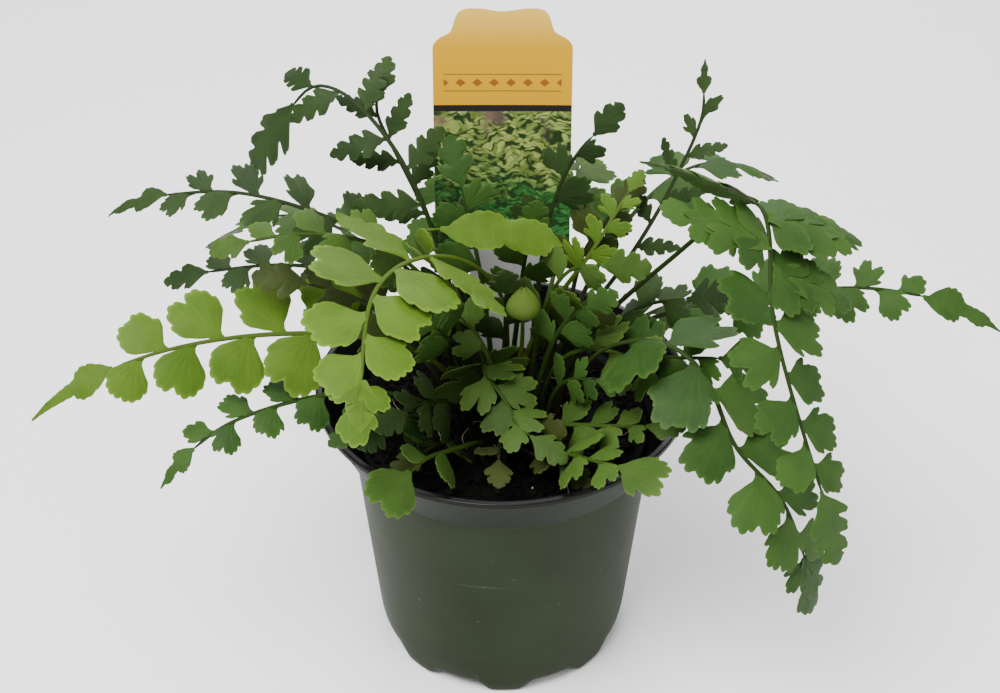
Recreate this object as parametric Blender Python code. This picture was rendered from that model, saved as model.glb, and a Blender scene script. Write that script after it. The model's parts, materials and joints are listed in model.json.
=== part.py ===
"""A potted spleenwort fern: nursery pot, potting mix, plant label and one solid per frond.

Run with: blender --background --python part.py
Units are metres and +Z is up. The origin is the middle of the pot's underside.
Fronds toward -Y face the viewer. Frond routes and leaflet sizes are given in
millimetres and scaled by MM.
"""

import math
import random
from dataclasses import dataclass

import bpy
import bmesh
from mathutils import Vector
from mathutils.geometry import tessellate_polygon

MM = 0.001

# Pot
POT_HEIGHT = 0.095
POT_RIM_RADIUS = 0.057
POT_BAND_HEIGHT = 0.0165
POT_BAND_FOOT_RADIUS = 0.0494
POT_WALL_TOP_RADIUS = 0.0466
POT_FOOT_RADIUS = 0.0400
POT_FLAT_RADIUS = 0.0335
POT_WALL = 0.0014
POT_FLOOR = 0.0016
POT_SEGMENTS = 48
NOTCH_COUNT = 8
NOTCH_HEIGHT = 0.0038
NOTCH_HALF_WIDTH = math.radians(11.0)
NOTCH_START = math.radians(-66.0)

# Potting mix
MIX_TOP = 0.0820
MIX_EDGE = 0.0795
MIX_SHOULDER = 0.0809
MIX_SHOULDER_RADIUS = 0.0360
MIX_CROWN_RADIUS = 0.0240
MIX_SEGMENTS = 32
SEAT_GAP = 0.0003

# Stem holes in the mix
STEM_FOOT = 0.0720
HOLE_RADIUS = 0.00195
HOLE_SIDES = 6
HOLE_LENGTH = 0.030
SLOT_LENGTH = 0.060
FOOT_RISES = (0.0, 5.0, 10.0, 15.0)

# Plant label
LABEL_THICKNESS = 0.0007
LABEL_HALF_WIDTH = 0.0215
LABEL_STAKE_HALF_WIDTH = 0.0100
LABEL_BURIED = 0.040
LABEL_HEAD_FOOT = 0.033
LABEL_HEIGHT = 0.110
LABEL_LEAN = math.radians(13.0)
LABEL_FOOT_Y = 0.0375

# Fronds
BLADE_THICKNESS = 0.0007
STEM_THICKNESS = 0.0014
STEM_TAPER = 0.55
LEAFLET_BASE = 1.1
LEAFLET_CUP = 0.22
SMALL_LEAFLET = 9.0
FAN_SPREAD = math.radians(50.0)
FAN_EDGE_LOSS = 0.36
FAN_EDGE_CURVE = 2.2
LOBE_FIRST = 0.85
LOBE_END_ROOM = 0.9
LOBE_FALL = 0.50
LOBE_NOTCH = 0.42
END_LOBE = (0.95, 0.28)
SIZE_SPREAD = 0.07
TURN_SPREAD = 5.0
TWIST_SPREAD = 4.0
SPACING_EASE = 0.18
END_ANGLE = 50.0
LONG_LOBES = 3
TIP_DROOP = 0.10
TIP_MARGIN = 2.0
BARE_STEP = 13.0
ROUTE_STEPS = 16


def clear_scene():
    """Remove every object that the scene starts with."""
    for item in list(bpy.data.objects):
        bpy.data.objects.remove(item, do_unlink=True)


def make_material(name, color, roughness, metallic=0.0):
    """Return a Principled material with a plain colour."""
    material = bpy.data.materials.new(name)
    material.use_nodes = True
    shader = material.node_tree.nodes["Principled BSDF"]
    shader.inputs["Base Color"].default_value = (*color, 1.0)
    shader.inputs["Roughness"].default_value = roughness
    shader.inputs["Metallic"].default_value = metallic
    return material


def pot_material():
    return make_material("pot_green_plastic", (0.055, 0.085, 0.045), 0.42)


def mix_material():
    return make_material("mix_peat", (0.012, 0.009, 0.007), 0.92)


def label_material():
    return make_material("label_printed_plastic", (0.72, 0.42, 0.10), 0.38)


def frond_material(tone):
    """Return the leaf material of one tone of green."""
    return make_material("leaf_" + tone, TONES[tone], 0.50)


TONES = {
    "bright": (0.185, 0.330, 0.045),
    "fresh": (0.110, 0.235, 0.040),
    "mid": (0.060, 0.150, 0.030),
    "dark": (0.032, 0.085, 0.025),
    "olive": (0.060, 0.075, 0.022),
}


def mesh_object(name, points, faces, material):
    """Make an object from points and faces, shaded smooth up to 40 degrees."""
    mesh = bpy.data.meshes.new(name)
    mesh.from_pydata([tuple(p) for p in points], [], faces)
    mesh.update()
    mesh.shade_smooth()
    mesh.set_sharp_from_angle(angle=math.radians(40.0))
    mesh.materials.append(material)
    item = bpy.data.objects.new(name, mesh)
    bpy.context.collection.objects.link(item)
    return item


# Pot and mix

def notch_depth(angle):
    """How far the foot is raised at this angle, from 0 on a foot to 1 in a notch."""
    step = 2.0 * math.pi / NOTCH_COUNT
    offset = (angle - NOTCH_START + step / 2.0) % step - step / 2.0
    return 1.0 if abs(offset) < NOTCH_HALF_WIDTH else 0.0


def pot_profile():
    """Return (radius, height, share of the notch) down the outside and up the inside."""
    band_foot = POT_HEIGHT - POT_BAND_HEIGHT
    wall = POT_WALL
    foot = POT_FOOT_RADIUS
    return [
        (POT_FLAT_RADIUS, 0.0, 0.0),
        (foot - 0.0032, 0.0, 1.0),
        (foot - 0.0008, 0.0010, 0.85),
        (foot, 0.0034, 0.55),
        (foot + 0.0008, 0.0100, 0.0),
        (POT_WALL_TOP_RADIUS, band_foot - 0.0005, 0.0),
        (POT_BAND_FOOT_RADIUS, band_foot + 0.0006, 0.0),
        (POT_RIM_RADIUS - 0.0012, POT_HEIGHT - 0.0020, 0.0),
        (POT_RIM_RADIUS, POT_HEIGHT - 0.0012, 0.0),
        (POT_RIM_RADIUS - 0.0003, POT_HEIGHT, 0.0),
        (POT_RIM_RADIUS - 0.0022, POT_HEIGHT, 0.0),
        (POT_BAND_FOOT_RADIUS - wall, band_foot + 0.0010, 0.0),
        (POT_WALL_TOP_RADIUS - wall, band_foot - 0.0012, 0.0),
        (foot - wall + 0.0008, 0.0100, 0.0),
        (foot - wall - 0.0016, POT_FLOOR + 0.0016, 0.85),
        (POT_FLAT_RADIUS + 0.0010, POT_FLOOR, 0.6),
        (POT_FLAT_RADIUS - 0.0035, POT_FLOOR, 0.0),
    ]


def lathe(name, profile, segments, raise_at, material):
    """Turn a profile that runs from the underside out and back in, with a centre point at each end."""
    points = [Vector((0.0, 0.0, profile[0][1]))]
    for radius, height, share in profile:
        for i in range(segments):
            angle = 2.0 * math.pi * i / segments
            lift = share * raise_at(angle)
            points.append(Vector((radius * math.cos(angle), radius * math.sin(angle), height + lift)))
    points.append(Vector((0.0, 0.0, profile[-1][1])))
    faces = []
    last = len(points) - 1
    top = 1 + (len(profile) - 1) * segments
    for i in range(segments):
        j = (i + 1) % segments
        faces.append((0, 1 + j, 1 + i))
        faces.append((last, top + i, top + j))
        for ring in range(len(profile) - 1):
            low = 1 + ring * segments
            high = low + segments
            faces.append((low + i, low + j, high + j, high + i))
    return mesh_object(name, points, faces, material)


def build_pot():
    """The pot, with its stepped rim band and eight notches round the foot."""
    return lathe("pot", pot_profile(), POT_SEGMENTS,
                 lambda angle: NOTCH_HEIGHT * notch_depth(angle), pot_material())


def build_mix(stems):
    """The potting mix, a filling with a low dome, with a plain hole for each stem and the label."""
    band_foot = POT_HEIGHT - POT_BAND_HEIGHT
    wall_radius = POT_WALL_TOP_RADIUS - POT_WALL - SEAT_GAP - 0.0002
    profile = [
        (POT_FLAT_RADIUS - 0.0045, POT_FLOOR + SEAT_GAP, 0.0),
        (POT_FOOT_RADIUS - 0.0024, 0.0095, 0.0),
        (wall_radius, band_foot - 0.0015, 0.0),
        (wall_radius + 0.0006, MIX_EDGE, 0.0),
        (MIX_SHOULDER_RADIUS, MIX_SHOULDER, 0.0),
        (MIX_CROWN_RADIUS, MIX_TOP, 0.0),
    ]
    mix = lathe("potting_mix", profile, MIX_SEGMENTS, lambda angle: 0.0, mix_material())
    cutter = hole_cutters(stems)
    cut = mix.modifiers.new("stem holes", "BOOLEAN")
    cut.operation = "DIFFERENCE"
    cut.object = cutter
    return mix


def hole_cutters(stems):
    """One guide object: a prism round each stem's foot and a leaning slab round the label's stake."""
    mesh = bmesh.new()
    for x, y in stems:
        made = bmesh.ops.create_cone(
            mesh, cap_ends=True, segments=HOLE_SIDES, radius1=HOLE_RADIUS, radius2=HOLE_RADIUS,
            depth=HOLE_LENGTH)
        bmesh.ops.translate(mesh, verts=made["verts"],
                            vec=(x * MM, y * MM, STEM_FOOT - SEAT_GAP + HOLE_LENGTH / 2.0))
    slab = bmesh.ops.create_cube(mesh, size=1.0)["verts"]
    width = 2.0 * (LABEL_STAKE_HALF_WIDTH + SEAT_GAP)
    bmesh.ops.scale(mesh, verts=slab,
                    vec=(width, LABEL_THICKNESS + 2.0 * SEAT_GAP, SLOT_LENGTH))
    bmesh.ops.translate(mesh, verts=slab,
                        vec=(0.0, 0.0, SLOT_LENGTH / 2.0 - LABEL_BURIED - SEAT_GAP))
    bmesh.ops.rotate(mesh, verts=slab, cent=(0.0, 0.0, 0.0),
                     matrix=label_rotation().to_matrix())
    bmesh.ops.translate(mesh, verts=slab, vec=(0.0, LABEL_FOOT_Y, MIX_TOP))
    data = bpy.data.meshes.new("stem_hole_guides")
    mesh.to_mesh(data)
    mesh.free()
    item = bpy.data.objects.new("stem_hole_guides", data)
    bpy.context.collection.objects.link(item)
    item.hide_render = True
    item.display_type = "WIRE"
    return item


# Label

def label_rotation():
    """The label leans back, away from the viewer."""
    return Vector((0.0, math.cos(LABEL_LEAN), -math.sin(LABEL_LEAN))).to_track_quat("Y", "Z")


def label_outline():
    """Half of the label's outline, from the stake's point up to the middle of the top edge."""
    head = LABEL_HALF_WIDTH
    top = LABEL_HEIGHT
    return [
        (0.0012, -LABEL_BURIED),
        (0.0060, -LABEL_BURIED + 0.010),
        (LABEL_STAKE_HALF_WIDTH - 0.0004, -LABEL_BURIED + 0.022),
        (LABEL_STAKE_HALF_WIDTH, LABEL_HEAD_FOOT - 0.010),
        (LABEL_STAKE_HALF_WIDTH + 0.003, LABEL_HEAD_FOOT - 0.003),
        (head - 0.0015, LABEL_HEAD_FOOT),
        (head, LABEL_HEAD_FOOT + 0.002),
        (head, top - 0.0115),
        (head - 0.0020, top - 0.0085),
        (0.0160, top - 0.0072),
        (0.0148, top - 0.0045),
        (0.0138, top - 0.0012),
        (0.0122, top),
    ]


def build_label():
    """The plant label: a thin flat sheet, pushed into the mix and leaning back."""
    right = label_outline()
    outline = right + [(-x, z) for x, z in reversed(right)]
    count = len(outline)
    half = LABEL_THICKNESS / 2.0
    points = [(x, -half, z) for x, z in outline] + [(x, half, z) for x, z in outline]
    flat = [Vector((x, z, 0.0)) for x, z in outline]
    faces = []
    for a, b, c in tessellate_polygon([flat]):
        a, b, c = counter_clockwise(flat, a, b, c)
        faces.append((a, b, c))
        faces.append((c + count, b + count, a + count))
    for i in range(count):
        j = (i + 1) % count
        faces.append((j, i, i + count, j + count))
    label = mesh_object("plant_label", points, faces, label_material())
    label.location = (0.0, LABEL_FOOT_Y, MIX_TOP)
    label.rotation_mode = "QUATERNION"
    label.rotation_quaternion = label_rotation()
    return label


def counter_clockwise(flat, a, b, c):
    """Return the triangle's corners in the turning sense of +Z."""
    area = (flat[b] - flat[a]).cross(flat[c] - flat[a]).z
    return (a, b, c) if area > 0.0 else (a, c, b)


# Fronds

@dataclass(frozen=True)
class Frond:
    """One frond's numbers, in millimetres, degrees and shares of its length.

    The route starts with the stem's place on the mix as (x, y) and goes on as (x, y, z).
    The face is the way its upper side looks. Leaflets start where the bare share of the
    stem ends; the first compound pairs are long and lobed, the rest are fans.
    """

    name: str
    tone: str
    route: list
    face: tuple
    bare: float
    pairs: int
    size: float
    tip: float
    compound: int = 0
    long: float = 0.0
    side: float = 1.0
    lift: float = 6.0
    twist: float = 12.0
    stem: float = 2.2
    cut: float = 0.17
    tip_width: float = 0.33
    long_width: float = 0.34
    taper: float = 0.42
    wide: float = 1.0
    droop: float = 0.16
    angle: float = 67.0

    def line(self):
        """The whole route, with the stem's straight foot set in the mix."""
        x, y = self.route[0]
        foot = [(x, y, STEM_FOOT / MM + rise) for rise in FOOT_RISES]
        return foot + self.route[1:]


# Frond routes

class Route:
    """A smooth line through a frond's points, with a frame that turns as little as it can."""

    def __init__(self, points, face):
        self.places = smooth_line([Vector(p) for p in points], ROUTE_STEPS)
        self.lengths = [0.0]
        for a, b in zip(self.places, self.places[1:]):
            self.lengths.append(self.lengths[-1] + (b - a).length)
        self.total = self.lengths[-1]
        self.tangents = [self.tangent(i) for i in range(len(self.places))]
        self.normals = self.transported(Vector(face).normalized())

    def tangent(self, i):
        last = len(self.places) - 1
        return (self.places[min(i + 1, last)] - self.places[max(i - 1, 0)]).normalized()

    def transported(self, face):
        """Turn the face direction along the line both ways from three quarters of its length."""
        count = len(self.places)
        start = int(0.75 * count)
        normals = [None] * count
        normals[start] = square_to(face, self.tangents[start])
        for i in range(start + 1, count):
            normals[i] = square_to(normals[i - 1], self.tangents[i])
        for i in range(start - 1, -1, -1):
            normals[i] = square_to(normals[i + 1], self.tangents[i])
        return normals

    def frame(self, s):
        """Return the place, tangent, left and normal at s millimetres along the line."""
        s = min(max(s, 0.0), self.total)
        i = 0
        while i < len(self.lengths) - 2 and self.lengths[i + 1] < s:
            i += 1
        share = (s - self.lengths[i]) / (self.lengths[i + 1] - self.lengths[i])
        place = self.places[i].lerp(self.places[i + 1], share)
        tangent = self.tangents[i].lerp(self.tangents[i + 1], share).normalized()
        normal = square_to(self.normals[i].lerp(self.normals[i + 1], share), tangent)
        return place, tangent, normal.cross(tangent), normal


def square_to(vector, axis):
    """The part of the vector at a right angle to the axis, at length one."""
    return (vector - axis * vector.dot(axis)).normalized()


def smooth_line(points, steps):
    """Uniform cubic B-spline on the points, which starts and ends on the first and the last."""
    padded = [2 * points[0] - points[1]] + points + [2 * points[-1] - points[-2]]
    line = []
    for a, b, c, d in zip(padded, padded[1:], padded[2:], padded[3:]):
        for k in range(steps):
            t = k / steps
            line.append(((1 - t) ** 3 * a + (3 * t ** 3 - 6 * t ** 2 + 4) * b
                         + (3 * t + 3 * t ** 2 - 3 * t ** 3 + 1) * c + t ** 3 * d) / 6)
    line.append(points[-1])
    return line


# Leaflet outlines, as (out, forward) in shares of the leaflet's length

def fan_outline(lobes, cut):
    """A wedge-based leaflet whose round far edge is cut into blunt lobes."""
    outline = []
    steps = 2 * lobes - 2
    for k in range(steps + 1):
        angle = FAN_SPREAD * (1.0 - 2.0 * k / steps)
        reach = 1.0 - FAN_EDGE_LOSS * abs(angle / FAN_SPREAD) ** FAN_EDGE_CURVE
        if k % 2 == 1:
            reach *= 1.0 - cut
        outline.append((reach * math.cos(angle), reach * math.sin(angle)))
    return outline


def lobed_outline(lobes, half_width):
    """A long leaflet cut into blunt forward-pointing lobes on both sides, with an end lobe."""
    side = []
    for k in range(lobes):
        centre = (k + LOBE_FIRST) / (lobes + LOBE_END_ROOM)
        reach = half_width * (1.0 - LOBE_FALL * k / lobes)
        side.append((centre - 0.05, 0.88 * reach))
        side.append((centre + 0.09, reach))
        side.append((centre + 0.36 / lobes, LOBE_NOTCH * reach))
    side.append((END_LOBE[0], END_LOBE[1] * half_width))
    back = [(u, -w) for u, w in reversed(side)]
    return side + [(1.0, 0.0)] + back


@dataclass(frozen=True)
class Leaflet:
    """One leaflet's size, outline and set on the stem."""

    length: float
    width: float
    outline: list
    droop: float
    angle: float = 0.0
    lift: float = 0.0
    twist: float = 0.0


# Frond solids

class Blade:
    """One frond as a single sheet: a stem strip with its leaflets grown from the strip's edges."""

    def __init__(self, route):
        self.route = route
        self.points = []
        self.stem = []
        self.faces = []

    def add_point(self, place, on_stem):
        self.points.append(place)
        if on_stem:
            self.stem.append(len(self.points) - 1)
        return len(self.points) - 1

    def strip(self, left_stations, right_stations, half_width):
        """Fill the strip between its two edges, whose stations differ, with a ladder of triangles."""
        left = [self.edge_point(s, half_width(s), 1.0) for s in left_stations]
        right = [self.edge_point(s, half_width(s), -1.0) for s in right_stations]
        i = j = 0
        while i < len(left) - 1 or j < len(right) - 1:
            step_left = j == len(right) - 1 or (
                i < len(left) - 1 and left_stations[i + 1] <= right_stations[j + 1])
            if step_left:
                self.faces.append((left[i], right[j], left[i + 1]))
                i += 1
            else:
                self.faces.append((left[i], right[j], right[j + 1]))
                j += 1
        return left, right

    def edge_point(self, s, half_width, side):
        place, _, left, _ = self.route.frame(s)
        return self.add_point(place + left * (side * half_width), True)

    def leaflet(self, back, front, side, s, shape):
        """Grow one leaflet from the edge between two strip points.

        The leaflet lies across the strip at an angle, is lifted a little and has its forward
        edge raised over the next one like a shingle.
        """
        place, tangent, left, up = self.route.frame(s)
        cos, sin = math.cos(shape.angle), math.sin(shape.angle)
        out = tangent * cos + left * (side * sin)
        forward = tangent * sin - left * (side * cos)
        axis = (out * math.cos(shape.lift) + up * math.sin(shape.lift)).normalized()
        across = (forward * math.cos(shape.twist) + up * math.sin(shape.twist)).normalized()
        face = (axis.cross(across) * -side).normalized()
        self.grow((front, back), LEAFLET_BASE, (place, axis, across, face), shape, side)

    def tip(self, left, right, shape):
        """Grow the end leaflet from the strip's last edge."""
        place, tangent, across, up = self.route.frame(self.route.total)
        half = (self.points[left] - self.points[right]).length / 2.0
        self.grow((left, right), half, (place, tangent, across, up), shape, -1.0)

    def grow(self, base, half, frame, shape, side):
        """Lay an outline on a frame from two base points, drooping outward and to both edges."""
        place, axis, across, face = frame
        length = shape.length
        outline = [(u * length, w * length * shape.width) for u, w in shape.outline]
        ids = [base[0]]
        for u, w in outline:
            drop = (shape.droop * u * u + LEAFLET_CUP * w * w) / length
            ids.append(self.add_point(place + axis * u + across * w - face * drop, False))
        ids.append(base[1])
        self.fill(ids, [(0.0, half), *outline, (0.0, -half)], side)

    def fill(self, ids, flat, side):
        """Split the outline into triangles, all turned the way the strip's are."""
        corners = [Vector((u, w, 0.0)) for u, w in flat]
        for a, b, c in tessellate_polygon([corners]):
            a, b, c = counter_clockwise(corners, a, b, c)
            triangle = (ids[a], ids[b], ids[c])
            self.faces.append(triangle if side < 0.0 else triangle[::-1])


def frond_shape(spec):
    """Lay out one frond's sheet: the stem strip, its leaflets in turn on both sides and the tip."""
    draw = random.Random(len(spec.name) + 7 * spec.pairs)
    route = Route(spec.line(), spec.face)
    blade = Blade(route)
    total = route.total
    count = 2 * spec.pairs
    first = spec.bare * total
    span = total - first - TIP_MARGIN
    chains = {1.0: [], -1.0: []}
    leaflets = []
    for k in range(count):
        side = spec.side if k % 2 == 0 else -spec.side
        share = (k + 0.35) / count
        s = first + span * share * (1.0 + SPACING_EASE - SPACING_EASE * share)
        chains[side] += [s - LEAFLET_BASE, s + LEAFLET_BASE]
        leaflets.append((side, s, leaflet_shape(spec, k, share, draw)))
    for side in chains:
        chains[side] = filled([0.0] + chains[side] + [total])
    left, right = blade.strip(chains[1.0], chains[-1.0],
                              lambda s: 0.5 * spec.stem * (1.0 - STEM_TAPER * s / total))
    rows = {1.0: (chains[1.0], left), -1.0: (chains[-1.0], right)}
    for side, s, shape in leaflets:
        stations, ids = rows[side]
        back = ids[nearest(stations, s - LEAFLET_BASE)]
        front = ids[nearest(stations, s + LEAFLET_BASE)]
        blade.leaflet(back, front, side, s, shape)
    blade.tip(left[-1], right[-1],
              Leaflet(spec.tip, 1.0, lobed_outline(2, spec.tip_width), TIP_DROOP))
    return blade


def leaflet_shape(spec, k, share, draw):
    """Size and set one leaflet: long and lobed at the frond's base, fan-shaped and smaller above."""
    is_long = k < 2 * spec.compound
    length = spec.size * (1.0 - spec.taper * share ** 1.2) * size_draw(draw)
    outline = fan_outline(4 if length > SMALL_LEAFLET else 3, spec.cut)
    width = spec.wide
    if is_long:
        length = spec.long * (1.0 - spec.taper * share) * size_draw(draw)
        outline = lobed_outline(LONG_LOBES, spec.long_width)
        width = 1.0
    turn = spec.angle + (END_ANGLE - spec.angle) * share + draw.uniform(-TURN_SPREAD, TURN_SPREAD)
    return Leaflet(
        length, width, outline, spec.droop,
        angle=math.radians(turn),
        lift=math.radians(spec.lift + draw.uniform(-TURN_SPREAD, TURN_SPREAD)),
        twist=math.radians(spec.twist + draw.uniform(-TWIST_SPREAD, TWIST_SPREAD)))


def size_draw(draw):
    """A leaflet's own share of its planned length."""
    return draw.uniform(1.0 - SIZE_SPREAD, 1.0 + SIZE_SPREAD)


def filled(stations):
    """Add stations where two neighbours lie farther apart than the bare step."""
    out = [stations[0]]
    for s in stations[1:]:
        parts = max(1, math.ceil((s - out[-1]) / BARE_STEP))
        start = out[-1]
        for i in range(1, parts + 1):
            out.append(start + (s - start) * i / parts)
    return out


def nearest(stations, s):
    return min(range(len(stations)), key=lambda i: abs(stations[i] - s))


def build_frond(spec, material):
    """Thicken the frond's sheet into a closed solid, thick at the stem and thin at the blades."""
    blade = frond_shape(spec)
    points = [p * MM for p in blade.points]
    item = mesh_object(spec.name, points, blade.faces, material)
    group = item.vertex_groups.new(name="stem")
    group.add(blade.stem, 1.0, "REPLACE")
    thick = item.modifiers.new("thickness", "SOLIDIFY")
    thick.thickness = STEM_THICKNESS
    thick.offset = 0.0
    thick.use_even_offset = False
    thick.use_rim = True
    thick.vertex_group = "stem"
    thick.thickness_vertex_group = BLADE_THICKNESS / STEM_THICKNESS
    return item


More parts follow.
